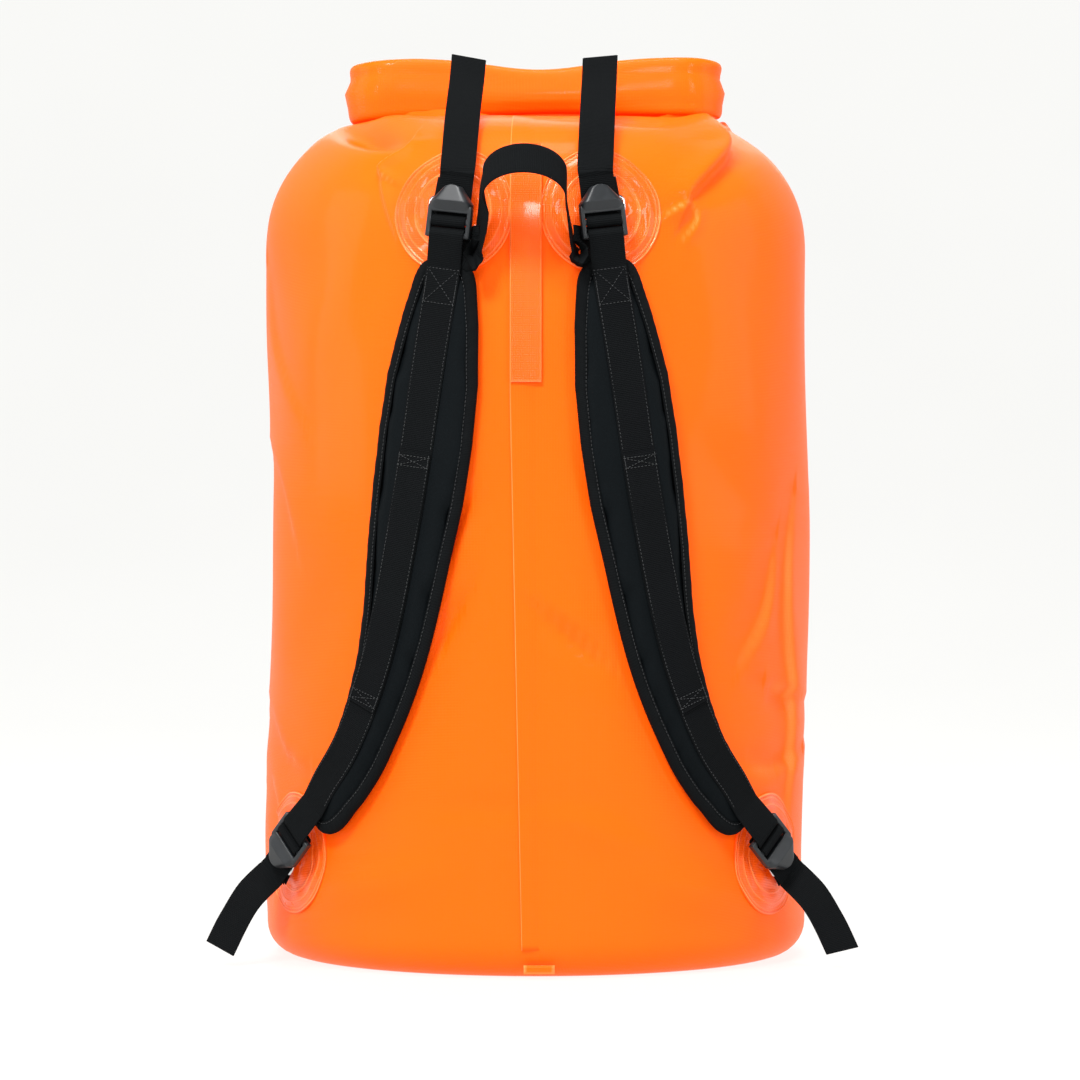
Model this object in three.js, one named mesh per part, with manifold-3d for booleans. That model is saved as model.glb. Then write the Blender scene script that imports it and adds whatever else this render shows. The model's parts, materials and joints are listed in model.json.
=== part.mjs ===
// Roll-top dry bag with a shoulder harness.
// Millimetres, +Z up, origin at the centre of the flat base, harness side facing -Y.
// Azimuth is measured round the bag from the harness side (-Y) towards +X.

import * as THREE from 'three';
import * as BufferGeometryUtils from 'three/addons/utils/BufferGeometryUtils.js';
import Module from 'manifold-3d';

const wasm = await Module();
wasm.setup();

const rad = THREE.MathUtils.degToRad;
const CLEARANCE = 0.4;

// Bag body
const BODY_RADIUS = 197;
const BODY_TOP = 603.5;
const SHOULDER_START = BODY_TOP - 98.5;
const BODY_WALL = 2.5;
const BASE_CORNER = 22;
const TOP_HALF_WIDTH = 142;
const TOP_FRONT_DEPTH = 70;
const TOP_BACK_DEPTH = 108;
const WIDTH_BEND = 2.5;
const DEPTH_BEND = 3.2;
const DEPTH_FULLNESS = 0.625;
const MOUTH_HALF_LENGTH = 115;
const MOUTH_HALF_WIDTH = 4;
const BODY_SIDES = 40;
const CORNER_STEPS = 4;
const SHOULDER_STEPS = 10;
const BODY_STEPS = 5;
const NORMAL_STEP = 0.01;

// Side-release buckle behind the bag
const BUCKLE_HALF_LENGTH = 27;
const BUCKLE_THICKNESS = 11;
const BUCKLE_SPLIT = 4;
const BUCKLE_WALL = 2;
const BUCKLE_POCKET = 20;
const BUCKLE_BAR = 4;
const BUCKLE_SLOT = 5;
const BUCKLE_FACE = 3;
const BUCKLE_SET_BACK = 7;
const PRONG_LENGTH = 17;
const PRONG_WIDTH = 3;
const PRONG_OFFSET = 8;
const PRONG_HEAD = 3;
const PRONG_HEAD_LENGTH = 7;
const PRONG_DEPTH = 5;
const GUIDE_WIDTH = 3;
const END_TAB_RETURN = 6;
const END_TAB_STEPS = 8;

// Rolled closure
const ROLL_HEIGHT = 45;
const ROLL_THICKNESS = 22;
const ROLL_HALF_WIDTH = 140;
const ROLL_FRONT = -56;
const ROLL_BEND_RADIUS = 25;
const ROLL_TURN = rad(130);
const ROLL_END_GAP = 4.2;
const ROLL_LIFT = 0.5;
const ROLL_BEND_STEPS = 8;
const ROLL_SECTION_STEPS = 4;
const STIFFENER_HEIGHT = 25;
const STIFFENER_THICKNESS = 2;
const STIFFENER_PLAY = 2;

// Welded strip and patches
const STRIP_LEFT = -11;
const STRIP_RIGHT = 10;
const STRIP_BOTTOM = BODY_TOP - 194.5;
const STRIP_TOP = BODY_TOP - 5.5;
const STRIP_THICKNESS = 1.2;
const STRIP_STEPS = 16;
const PATCH_RADIUS = 43;
const PATCH_THICKNESS = 1.4;
const PATCH_LIFT = 0.8;
const PATCH_SIDES = 24;
const PATCH_CIRCLES = 3;

// Webbing
const WEBBING = 25;
const WEBBING_THICKNESS = 1.2;
const BUCKLE_WIDTH = WEBBING + 2 * (BUCKLE_WALL + 2);

// Rings and their anchors
const WIRE_RADIUS = 1.5;
const RING_HALF_WIDTH = WEBBING / 2 + WIRE_RADIUS;
const RING_SIDE = 6;
const RING_BAR = 8;
const RING_CORNER = 3;
const RING_BOW_STEPS = 12;
const RING_CORNER_STEPS = 3;
const WIRE_SIDES = 8;
const FOLD_STEPS = 6;
const RING_HEIGHT_ABOVE_BAG = 5.5;
const ANCHOR_TAB_END = 22;
const ANCHOR_RUN_END = 2;
const RING_PLAY = 2;

// Shoulder pads
const PAD_TOP_GAP = 17;
const PAD_BOTTOM_GAP = 11;
const PAD_LIFT = PATCH_LIFT + PATCH_THICKNESS + 1;
const PAD_THICKNESS = 9.5;
const PAD_CROWN = 2.5;
const PAD_CROWN_SHARE = 0.8;
const PAD_OUTER = [19, 26, 31, 32, 31, 28, 23, 19, 16, 15, 12];
const PAD_INNER = [19, 28, 34, 36, 36, 34, 33, 32, 31, 31, 27];
const PAD_STEPS = 22;
const PAD_WEBBING_STEPS = 26;
const PAD_WEBBING_TOP = 3;
const PAD_WEBBING_BOTTOM = 9;
const BINDING_WIDTH = 4;
const BINDING_THICKNESS = 6.5;

// The strap's centreline, as shares of the way across and down from the upper lock to the lower one
const PAD_ROUTE = [[0.055, 0.093], [0.123, 0.202], [0.274, 0.464], [0.447, 0.69], [0.648, 0.838],
  [0.831, 0.92], [0.909, 0.959]];

// Ladder locks: the fixed bar is the local origin, the thumb tab points along +Y
const LOCK_THICKNESS = 4;
const LOCK_RAIL = 2.6;
const LOCK_PLAY = 0.9;
const LOCK_WIDTH = WEBBING + 2 * (LOCK_RAIL + LOCK_PLAY);
const FIXED_BAR = 4;
const MIDDLE_BAR = 4;
const LOOP_PLAY = 0.65;
const LOCK_LOOP_RADIUS = Math.hypot(FIXED_BAR, LOCK_THICKNESS) / 2 + LOOP_PLAY + WEBBING_THICKNESS / 2;
const FIRST_SLOT_END = LOCK_LOOP_RADIUS + WEBBING_THICKNESS * 1.5 + CLEARANCE * 3;
const MIDDLE_BAR_END = FIRST_SLOT_END + MIDDLE_BAR;
const SECOND_SLOT_END = MIDDLE_BAR_END + 4;
const TAB_SHOULDER = SECOND_SLOT_END + 6;
const TAB_TIP = TAB_SHOULDER + 13;
const TAB_TIP_WIDTH = 10;
const LOCK_LIFT = PAD_LIFT + PAD_THICKNESS + 1.9;
const LOOP_STEPS = 12;
const WRAP_STEPS = 8;
const TAIL_ABOVE_BAG = 10.1;
const TAIL_DEPTH = LOCK_LIFT - TAIL_ABOVE_BAG;
const WRAP_END = TAB_TIP + 4;
const TAIL_GAP = 1.5;
const TAIL_LEAD = 6;

// Places of the harness hardware
const UPPER_X = 51.5;
const UPPER_RING_Z = BODY_TOP - 77.5;
const UPPER_BAR_DROP = 16.5;
const UPPER_LEAN = rad(7);
const LOWER_AZIMUTH = rad(59);
const LOWER_RING_Z = 79;
const LOWER_BAR_INWARD = 5.4;
const LOWER_BAR_RISE = 18;
const LOWER_FACING = rad(42);
const LOWER_LEAN = rad(45);
const LOWER_RING_LEAN = rad(135);

// Haul handle: HANDLE_LEG lists [distance out, height] above the pivot
const HANDLE_PIVOT_Z = UPPER_RING_Z - 26;
const HANDLE_ABOVE_BAG = 2;
const HANDLE_PIVOT_OUT = WEBBING / 2 + HANDLE_ABOVE_BAG;
const HANDLE_ROOT_X = UPPER_X - LOCK_WIDTH / 2 - 3.5;
const HANDLE_HALF_WIDTH = HANDLE_ROOT_X - 5;
const HANDLE_RISE = rad(33);
const HANDLE_LEG = [[0, 0], [3, 14], [11, 29], [25, 41]];
const HANDLE_CROWN_STEPS = 12;
const HANDLE_ROOT_GAP = 1.5;
const HANDLE_ROOT_WIDTH = WEBBING - 7;
const HANDLE_ROOT_INSET = 2;

// Each root's side view: [distance outwards in x, distance back, height] from the pivot
const HANDLE_ROOT = [[0, 0, -7], [0.5, 0, 0], [0.9, 2, 8], [1, 3.25, 13]];

// Loose tails. Upper: [share of the way from the roll's front to the body's side, height above the body].
// Lower: [outward in x, outward in y, height] from the lower bar.
const UPPER_TAIL_END_X = { left: 43.5, right: 49 };
const UPPER_TAIL = [[0.95, -33.5], [0.84, -13.5], [0.68, 6.5], [0.53, 26.5], [0.42, 48.5]];
const UPPER_TAIL_STEPS = 18;
const LOWER_TAIL = [[35.5, -18.3, -47], [46.5, -14.3, -65], [55.5, -8.3, -84]];
const LOWER_TAIL_STEPS = 10;

const finish = {
  tarpaulin: { color: 0xff8228, roughness: 0.35, metalness: 0 },
  webbing: { color: 0x141617, roughness: 0.85, metalness: 0 },
  padding: { color: 0x22292c, roughness: 0.9, metalness: 0 },
  plastic: { color: 0x2a2d30, roughness: 0.45, metalness: 0 },
  steel: { color: 0xc8c8cc, roughness: 0.25, metalness: 1 },
};

const bag = new THREE.Group();

function addPiece(name, geometry, look, parent = bag) {
  const mesh = new THREE.Mesh(geometry, new THREE.MeshStandardMaterial(finish[look]));
  mesh.name = name;
  parent.add(mesh);
  return mesh;
}

// ---------------------------------------------------------------- solids

function signedVolume(points, triangles) {
  let total = 0;
  for (let i = 0; i < triangles.length; i += 3) {
    const [a, b, c] = [points[triangles[i]], points[triangles[i + 1]], points[triangles[i + 2]]];
    total += a.dot(new THREE.Vector3().crossVectors(b, c));
  }
  return total / 6;
}

// Joins equal-sized rings of points into one closed solid. A loop's last ring meets its first.
function loft(rings, loop = false) {
  const sides = rings[0].length;
  const points = rings.flat();
  const triangles = [];
  const bands = loop ? rings.length : rings.length - 1;
  for (let band = 0; band < bands; band++) {
    const here = band * sides;
    const next = ((band + 1) % rings.length) * sides;
    for (let i = 0; i < sides; i++) {
      const j = (i + 1) % sides;
      triangles.push(here + i, here + j, next + j, here + i, next + j, next + i);
    }
  }
  if (!loop) {
    const last = (rings.length - 1) * sides;
    for (let i = 1; i < sides - 1; i++) {
      triangles.push(0, i + 1, i, last, last + i, last + i + 1);
    }
  }
  if (signedVolume(points, triangles) < 0) triangles.reverse();
  const geometry = new THREE.BufferGeometry();
  geometry.setAttribute('position', new THREE.Float32BufferAttribute(points.flatMap((p) => p.toArray()), 3));
  geometry.setIndex(triangles);
  geometry.computeVertexNormals();
  return geometry;
}

function toManifold(geometry) {
  const bare = geometry.clone();
  bare.deleteAttribute('normal');
  bare.deleteAttribute('uv');
  const merged = BufferGeometryUtils.mergeVertices(bare);
  return new wasm.Manifold(new wasm.Mesh({
    numProp: 3,
    vertProperties: new Float32Array(merged.attributes.position.array),
    triVerts: new Uint32Array(merged.index.array),
  }));
}

function fromManifold(solid) {
  const mesh = solid.getMesh();
  const geometry = new THREE.BufferGeometry();
  geometry.setAttribute('position', new THREE.Float32BufferAttribute(mesh.vertProperties, 3));
  geometry.setIndex(Array.from(mesh.triVerts));
  geometry.computeVertexNormals();
  return geometry;
}

function cut(geometry, tools) {
  return fromManifold(tools.reduce((solid, tool) => solid.subtract(toManifold(tool)), toManifold(geometry)));
}

function box(x0, x1, y0, y1, z0, z1) {
  const geometry = new THREE.BoxGeometry(x1 - x0, y1 - y0, z1 - z0);
  return geometry.translate((x0 + x1) / 2, (y0 + y1) / 2, (z0 + z1) / 2);
}

// A flat band swept along points, with the direction of its width given at each point.
function band(points, widthAxes, width = WEBBING, thickness = WEBBING_THICKNESS) {
  const rings = points.map((point, i) => {
    const before = points[Math.max(i - 1, 0)];
    const after = points[Math.min(i + 1, points.length - 1)];
    const along = after.clone().sub(before).normalize();
    const face = new THREE.Vector3().crossVectors(along, widthAxes[i]).normalize();
    const across = new THREE.Vector3().crossVectors(face, along).normalize();
    const corners = [[1, 1], [-1, 1], [-1, -1], [1, -1]];
    return corners.map(([a, f]) => point.clone()
      .addScaledVector(across, (a * width) / 2)
      .addScaledVector(face, (f * thickness) / 2));
  });
  return loft(rings);
}

// Points of an arc in a plane, from one angle to another.
function arc(x, y, radius, from, to, steps) {
  return Array.from({ length: steps + 1 }, (_, i) => {
    const angle = from + ((to - from) * i) / steps;
    return [x + radius * Math.cos(angle), y + radius * Math.sin(angle)];
  });
}

// ---------------------------------------------------------------- the bag's surface

function shoulderShare(z) {
  return THREE.MathUtils.clamp((z - SHOULDER_START) / (BODY_TOP - SHOULDER_START), 0, 1);
}

function halfWidth(z, radius = BODY_RADIUS) {
  return TOP_HALF_WIDTH + (radius - TOP_HALF_WIDTH) * (1 - shoulderShare(z) ** WIDTH_BEND);
}

function depth(z, topDepth, radius = BODY_RADIUS) {
  return topDepth + (radius - topDepth) * (1 - shoulderShare(z) ** DEPTH_BEND) ** DEPTH_FULLNESS;
}

function skinPoint(azimuth, z) {
  const topDepth = Math.cos(azimuth) > 0 ? TOP_FRONT_DEPTH : TOP_BACK_DEPTH;
  return new THREE.Vector3(
    halfWidth(z) * Math.sin(azimuth), -depth(z, topDepth) * Math.cos(azimuth), z);
}

// A point standing off the skin along the skin's own outward direction.
function offSkin(azimuth, z, out) {
  const round = skinPoint(azimuth + NORMAL_STEP, z).sub(skinPoint(azimuth - NORMAL_STEP, z));
  const rise = skinPoint(azimuth, z + NORMAL_STEP).sub(skinPoint(azimuth, z - NORMAL_STEP));
  return skinPoint(azimuth, z).addScaledVector(round.cross(rise).normalize(), out);
}

function azimuthAt(x, z) {
  return Math.asin(x / halfWidth(z));
}

function skinRing(z, inset) {
  return Array.from({ length: BODY_SIDES }, (_, i) => {
    const azimuth = (2 * Math.PI * i) / BODY_SIDES;
    const point = skinPoint(azimuth, z);
    const scale = 1 - inset / Math.hypot(point.x, point.y);
    return new THREE.Vector3(point.x * scale, point.y * scale, z);
  });
}

function mouthRing(z) {
  const middle = ROLL_FRONT + ROLL_THICKNESS / 2;
  return Array.from({ length: BODY_SIDES }, (_, i) => {
    const azimuth = (2 * Math.PI * i) / BODY_SIDES;
    return new THREE.Vector3(MOUTH_HALF_LENGTH * Math.sin(azimuth),
      middle - MOUTH_HALF_WIDTH * Math.cos(azimuth), z);
  });
}

function cornerRings(wall) {
  return arc(0, BASE_CORNER, BASE_CORNER - wall, -Math.PI / 2, 0, CORNER_STEPS).map(([out, z]) => {
    return skinRing(z, BASE_CORNER - out).map((p) => p.setZ(z));
  });
}

function bodyWallRings(wall) {
  const rings = cornerRings(wall);
  for (let i = 1; i <= BODY_STEPS; i++) {
    const z = BASE_CORNER + ((SHOULDER_START - BASE_CORNER) * i) / BODY_STEPS;
    rings.push(skinRing(z, wall));
  }
  for (let i = 1; i <= SHOULDER_STEPS; i++) {
    const z = SHOULDER_START + (BODY_TOP - SHOULDER_START) * Math.sin((Math.PI / 2) * (i / SHOULDER_STEPS));
    rings.push(skinRing(z, wall).map((p) => p.setZ(Math.min(z, BODY_TOP - wall))));
  }
  return rings;
}

function makeBody() {
  const outer = bodyWallRings(0);
  const inner = bodyWallRings(BODY_WALL);
  const rim = [mouthRing(BODY_TOP), mouthRing(BODY_TOP - BODY_WALL)];
  addPiece('body_tube', loft([...outer, ...rim, ...inner.reverse()], true), 'tarpaulin');
  const discRadius = BODY_RADIUS - BASE_CORNER - CLEARANCE;
  const disc = new THREE.CylinderGeometry(discRadius, discRadius, BODY_WALL, BODY_SIDES);
  disc.rotateX(Math.PI / 2).translate(0, 0, BODY_WALL / 2);
  addPiece('base_panel', disc, 'tarpaulin');
}

function makeSeamStrip() {
  const inside = PATCH_LIFT + PATCH_THICKNESS + CLEARANCE;
  const corners = [
    [STRIP_LEFT, 0], [STRIP_RIGHT, 0], [STRIP_RIGHT, STRIP_THICKNESS], [STRIP_LEFT, STRIP_THICKNESS],
  ];
  const rings = [];
  for (let i = 0; i <= STRIP_STEPS; i++) {
    const z = STRIP_BOTTOM + ((STRIP_TOP - STRIP_BOTTOM) * i) / STRIP_STEPS;
    rings.push(corners.map(([x, out]) => offSkin(azimuthAt(x, z), z, inside + out)));
  }
  addPiece('back_seam_strip', loft(rings), 'tarpaulin');
}

function patch(azimuth, z) {
  const circles = Array.from({ length: PATCH_CIRCLES }, (_, i) => (PATCH_RADIUS * (i + 1)) / PATCH_CIRCLES);
  const ring = (radius, out) => Array.from({ length: PATCH_SIDES }, (_, i) => {
    const angle = (2 * Math.PI * i) / PATCH_SIDES;
    const round = (radius * Math.cos(angle)) / BODY_RADIUS;
    return offSkin(azimuth + round, z + radius * Math.sin(angle), out);
  });
  const under = circles.map((radius) => ring(radius, PATCH_LIFT));
  const over = circles.map((radius) => ring(radius, PATCH_LIFT + PATCH_THICKNESS));
  return loft([...under, ...over.reverse()]);
}

// ---------------------------------------------------------------- rolled closure

// Plan-view centreline of the roll, from one free end to the other, lengthened at both ends.
function rollRoute(extra = 0) {
  const y = ROLL_FRONT + ROLL_THICKNESS / 2;
  const flat = ROLL_HALF_WIDTH - ROLL_THICKNESS / 2 - ROLL_BEND_RADIUS;
  const centreY = y + ROLL_BEND_RADIUS;
  const from = -Math.PI / 2;
  const bend = arc(flat, centreY, ROLL_BEND_RADIUS, from, from + ROLL_TURN, ROLL_BEND_STEPS);
  const [bendX, bendY] = bend[bend.length - 1];
  const endGap = BUCKLE_HALF_LENGTH + ROLL_END_GAP + (ROLL_THICKNESS / 2) * Math.sin(ROLL_TURN);
  const arm = (endGap - bendX) / Math.cos(ROLL_TURN) + extra;
  const end = [bendX + arm * Math.cos(ROLL_TURN), bendY + arm * Math.sin(ROLL_TURN)];
  const right = [...bend, end];
  const left = right.map(([px, py]) => [-px, py]).reverse();
  return [...left, ...right];
}

// A section with straight sides and round top and bottom, swept level along the roll's route.
function rollSweep(thickness, height, extra) {
  const z = BODY_TOP + ROLL_LIFT + ROLL_HEIGHT / 2;
  const route = rollRoute(extra).map(([x, y]) => new THREE.Vector3(x, y, z));
  const straight = (height - thickness) / 2;
  const up = new THREE.Vector3(0, 0, 1);
  const section = [
    ...arc(0, straight, thickness / 2, 0, Math.PI, ROLL_SECTION_STEPS),
    ...arc(0, -straight, thickness / 2, Math.PI, 2 * Math.PI, ROLL_SECTION_STEPS),
  ];
  const rings = route.map((point, i) => {
    const before = route[Math.max(i - 1, 0)];
    const after = route[Math.min(i + 1, route.length - 1)];
    const side = after.clone().sub(before).cross(up).normalize();
    return section.map(([out, high]) => point.clone().addScaledVector(side, out).setZ(z + high));
  });
  return loft(rings);
}

function makeRoll() {
  const slotThickness = STIFFENER_THICKNESS + STIFFENER_PLAY;
  const slotHeight = STIFFENER_HEIGHT + STIFFENER_PLAY * 2;
  const hollow = rollSweep(slotThickness, slotHeight, 1);
  addPiece('roll_top', cut(rollSweep(ROLL_THICKNESS, ROLL_HEIGHT, 0), [hollow]), 'tarpaulin');
  addPiece('mouth_stiffener', rollSweep(STIFFENER_THICKNESS, STIFFENER_HEIGHT, -1), 'plastic');
}

// ---------------------------------------------------------------- harness hardware

// A group whose X runs across the webbing, Y along it and Z away from the bag.
function seat(origin, along, out) {
  const group = new THREE.Group();
  const across = new THREE.Vector3().crossVectors(along, out).normalize();
  group.quaternion.setFromRotationMatrix(new THREE.Matrix4().makeBasis(across, along, out));
  group.position.copy(origin);
  group.updateMatrixWorld(true);
  return group;
}

function outward(azimuth) {
  return new THREE.Vector3(Math.sin(azimuth), -Math.cos(azimuth), 0);
}

// The direction in the bag's surface at an azimuth, leaning from straight up towards +X.
function leaning(azimuth, lean) {
  return new THREE.Vector3(Math.cos(azimuth), Math.sin(azimuth), 0).multiplyScalar(Math.sin(lean))
    .add(new THREE.Vector3(0, 0, Math.cos(lean)));
}

// A band whose side view is given as [along, out] points in a seat's own frame.
function foldedBand(side, width = WEBBING) {
  const points = side.map(([along, out]) => new THREE.Vector3(0, along, out));
  return band(points, points.map(() => new THREE.Vector3(1, 0, 0)), width);
}

function dRing() {
  const quarter = Math.PI / 2;
  const round = arc(0, RING_BAR - RING_SIDE, RING_HALF_WIDTH, 2 * quarter, 4 * quarter, RING_BOW_STEPS);
  const cornerX = RING_HALF_WIDTH - RING_CORNER;
  const cornerY = RING_BAR - RING_CORNER;
  const right = arc(cornerX, cornerY, RING_CORNER, 0, quarter, RING_CORNER_STEPS);
  const left = arc(-cornerX, cornerY, RING_CORNER, quarter, 2 * quarter, RING_CORNER_STEPS);
  const route = [...round, ...right, ...left.slice(0, -1)];
  const rings = route.map(([x, y], i) => {
    const [bx, by] = route[(i + route.length - 1) % route.length];
    const [ax, ay] = route[(i + 1) % route.length];
    const normal = new THREE.Vector3(ay - by, bx - ax, 0).normalize();
    return Array.from({ length: WIRE_SIDES }, (_, k) => {
      const angle = (2 * Math.PI * k) / WIRE_SIDES;
      return new THREE.Vector3(x, y, RING_HEIGHT_ABOVE_BAG + WIRE_RADIUS * Math.sin(angle))
        .addScaledVector(normal, WIRE_RADIUS * Math.cos(angle));
    });
  });
  return loft(rings, true);
}

// The webbing round the ring's flat bar, whose two ends lie on the patch.
function anchorTab() {
  const bend = WIRE_RADIUS + CLEARANCE + WEBBING_THICKNESS / 2;
  const under = RING_HEIGHT_ABOVE_BAG - bend;
  const turn = arc(RING_BAR, RING_HEIGHT_ABOVE_BAG, bend, -Math.PI / 2, (-3 * Math.PI) / 2, FOLD_STEPS);
  const side = [[ANCHOR_TAB_END, under], ...turn, [ANCHOR_TAB_END, under + WEBBING_THICKNESS + CLEARANCE]];
  return foldedBand(side, WEBBING - RING_PLAY);
}

// The tensioned webbing where it doubles round the ring's bow behind the lock.
function anchorRun() {
  const bow = RING_BAR - RING_SIDE - RING_HALF_WIDTH;
  const bend = WIRE_RADIUS + CLEARANCE + WEBBING_THICKNESS / 2;
  const turn = arc(bow, RING_HEIGHT_ABOVE_BAG, bend, -Math.PI / 2, (-3 * Math.PI) / 2, FOLD_STEPS);
  return foldedBand([
    [ANCHOR_RUN_END, RING_HEIGHT_ABOVE_BAG - bend], ...turn, [ANCHOR_RUN_END, RING_HEIGHT_ABOVE_BAG + bend],
  ], WEBBING - RING_PLAY);
}

function ladderLock() {
  const half = LOCK_WIDTH / 2;
  const outline = new THREE.Shape();
  outline.moveTo(-half, -FIXED_BAR / 2);
  outline.lineTo(half, -FIXED_BAR / 2);
  outline.lineTo(half, TAB_SHOULDER - LOCK_RAIL);
  outline.lineTo(half - LOCK_RAIL, TAB_SHOULDER);
  outline.lineTo(TAB_TIP_WIDTH / 2, TAB_TIP);
  outline.lineTo(-TAB_TIP_WIDTH / 2, TAB_TIP);
  outline.lineTo(LOCK_RAIL - half, TAB_SHOULDER);
  outline.lineTo(-half, TAB_SHOULDER - LOCK_RAIL);
  outline.closePath();
  const slots = [[FIXED_BAR / 2, FIRST_SLOT_END], [MIDDLE_BAR_END, SECOND_SLOT_END]];
  slots.forEach(([from, to]) => {
    const inner = half - LOCK_RAIL;
    outline.holes.push(new THREE.Path([[-inner, from], [inner, from], [inner, to], [-inner, to]]
      .map(([x, y]) => new THREE.Vector2(x, y))));
  });
  const body = new THREE.ExtrudeGeometry(outline, { depth: LOCK_THICKNESS, bevelEnabled: false });
  return body.translate(0, 0, -LOCK_THICKNESS / 2);
}

// The webbing over the lock's middle bar and out beneath its thumb tab.
function lockWebbing() {
  const middle = (FIRST_SLOT_END + MIDDLE_BAR_END) / 2;
  const bend = (MIDDLE_BAR_END - FIRST_SLOT_END) / 2 + CLEARANCE * 2 + WEBBING_THICKNESS / 2;
  const over = arc(middle, LOCK_THICKNESS / 2 - bend / 2, bend, Math.PI, 0, WRAP_STEPS);
  return foldedBand([
    [middle - bend, -TAIL_DEPTH], ...over, [middle + bend, -TAIL_DEPTH + 2],
    [middle + bend + 2, -TAIL_DEPTH], [WRAP_END, -TAIL_DEPTH],
  ]);
}

function addHardware(level, sideName, ringSeat, lockSeat) {
  bag.add(ringSeat, lockSeat);
  addPiece(`${level}_anchor_tab_${sideName}`, anchorTab(), 'webbing', ringSeat);
  addPiece(`${level}_d_ring_${sideName}`, dRing(), 'steel', ringSeat);
  addPiece(`${level}_anchor_run_${sideName}`, anchorRun(), 'webbing', ringSeat);
  addPiece(`${level}_ladder_lock_${sideName}`, ladderLock(), 'plastic', lockSeat);
  addPiece(`${level}_lock_webbing_${sideName}`, lockWebbing(), 'webbing', lockSeat);
}

function upperSeats(side) {
  const ringAzimuth = side * Math.asin(UPPER_X / BODY_RADIUS);
  const along = leaning(ringAzimuth, -side * UPPER_LEAN);
  const out = outward(ringAzimuth);
  const ring = seat(out.clone().multiplyScalar(BODY_RADIUS).setZ(UPPER_RING_Z), along, out);
  const barX = UPPER_X + UPPER_BAR_DROP * Math.tan(UPPER_LEAN);
  const barAzimuth = side * Math.asin(barX / (BODY_RADIUS + LOCK_LIFT));
  const bar = outward(barAzimuth).multiplyScalar(BODY_RADIUS + LOCK_LIFT).setZ(UPPER_RING_Z - UPPER_BAR_DROP);
  return { ring, lock: seat(bar, along, out) };
}

function lowerSeats(side) {
  const ringOut = outward(side * LOWER_AZIMUTH);
  const ringAlong = leaning(side * LOWER_AZIMUTH, side * LOWER_RING_LEAN);
  const ring = seat(ringOut.clone().multiplyScalar(BODY_RADIUS).setZ(LOWER_RING_Z), ringAlong, ringOut);
  const reach = BODY_RADIUS + LOCK_LIFT;
  const barX = BODY_RADIUS * Math.sin(LOWER_AZIMUTH) - LOWER_BAR_INWARD;
  const barZ = LOWER_RING_Z + LOWER_BAR_RISE;
  const bar = new THREE.Vector3(side * barX, -Math.sqrt(reach ** 2 - barX ** 2), barZ);
  const out = outward(side * LOWER_FACING);
  return { ring, lock: seat(bar, leaning(side * LOWER_FACING, side * (Math.PI - LOWER_LEAN)), out) };
}

// ---------------------------------------------------------------- shoulder straps

// The strap's centreline on the unrolled bag: x is the way round, y is the height.
function padCurve(side, upperLock, lowerLock) {
  const from = upperLock.position;
  const to = lowerLock.position;
  const points = [[0, 0], ...PAD_ROUTE, [1, 1]].map(([acrossShare, downShare]) => {
    const x = THREE.MathUtils.lerp(Math.abs(from.x), Math.abs(to.x), acrossShare);
    const way = side * BODY_RADIUS * Math.asin(x / (BODY_RADIUS + LOCK_LIFT));
    return new THREE.Vector3(way, THREE.MathUtils.lerp(from.z, to.z, downShare), 0);
  });
  return new THREE.CatmullRomCurve3(points, false, 'centripetal');
}

function listValue(list, share) {
  const place = share * (list.length - 1);
  const index = Math.min(Math.floor(place), list.length - 2);
  return THREE.MathUtils.lerp(list[index], list[index + 1], place - index);
}

// A point on the strap: share of the padded length, distance to the outer side, height off the bag.
function padPoint(curve, side, distance, toOuter, out) {
  const share = distance / curve.getLength();
  const place = curve.getPointAt(share);
  const along = curve.getTangentAt(share);
  const across = new THREE.Vector2(-along.y, along.x).multiplyScalar(side);
  const azimuth = (place.x + across.x * toOuter) / BODY_RADIUS;
  return outward(azimuth).multiplyScalar(BODY_RADIUS + out).setZ(place.y + across.y * toOuter);
}

function padStations(curve, inset) {
  const start = PAD_TOP_GAP + inset;
  const end = curve.getLength() - PAD_BOTTOM_GAP - inset;
  return Array.from({ length: PAD_STEPS + 1 }, (_, i) => {
    const share = i / PAD_STEPS;
    return {
      distance: THREE.MathUtils.lerp(start, end, share),
      outer: listValue(PAD_OUTER, share) - inset,
      inner: listValue(PAD_INNER, share) - inset,
    };
  });
}

function shoulderPad(side, curve) {
  const low = PAD_LIFT;
  const high = PAD_LIFT + PAD_THICKNESS;
  const rings = padStations(curve, BINDING_WIDTH + CLEARANCE).map(({ distance, outer, inner }) => {
    const section = [
      [outer, low], [0, low], [-inner, low], [-inner, high - PAD_CROWN], [-inner * PAD_CROWN_SHARE, high],
      [0, high], [outer * PAD_CROWN_SHARE, high], [outer, high - PAD_CROWN],
    ];
    return section.map(([toOuter, out]) => padPoint(curve, side, distance, toOuter, out));
  });
  return loft(rings);
}

function padBinding(side, curve) {
  const low = PAD_LIFT + (PAD_THICKNESS - PAD_CROWN - BINDING_THICKNESS) / 2 + CLEARANCE;
  const outline = (inset, out) => {
    const stations = padStations(curve, inset);
    const outer = stations.map((s) => padPoint(curve, side, s.distance, s.outer, out));
    const inner = stations.map((s) => padPoint(curve, side, s.distance, -s.inner, out));
    return [...outer, ...inner.reverse()];
  };
  const edges = [
    outline(0, low), outline(0, low + BINDING_THICKNESS),
    outline(BINDING_WIDTH, low + BINDING_THICKNESS), outline(BINDING_WIDTH, low),
  ];
  return loft(edges[0].map((_, i) => edges.map((edge) => edge[i])), true);
}

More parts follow.
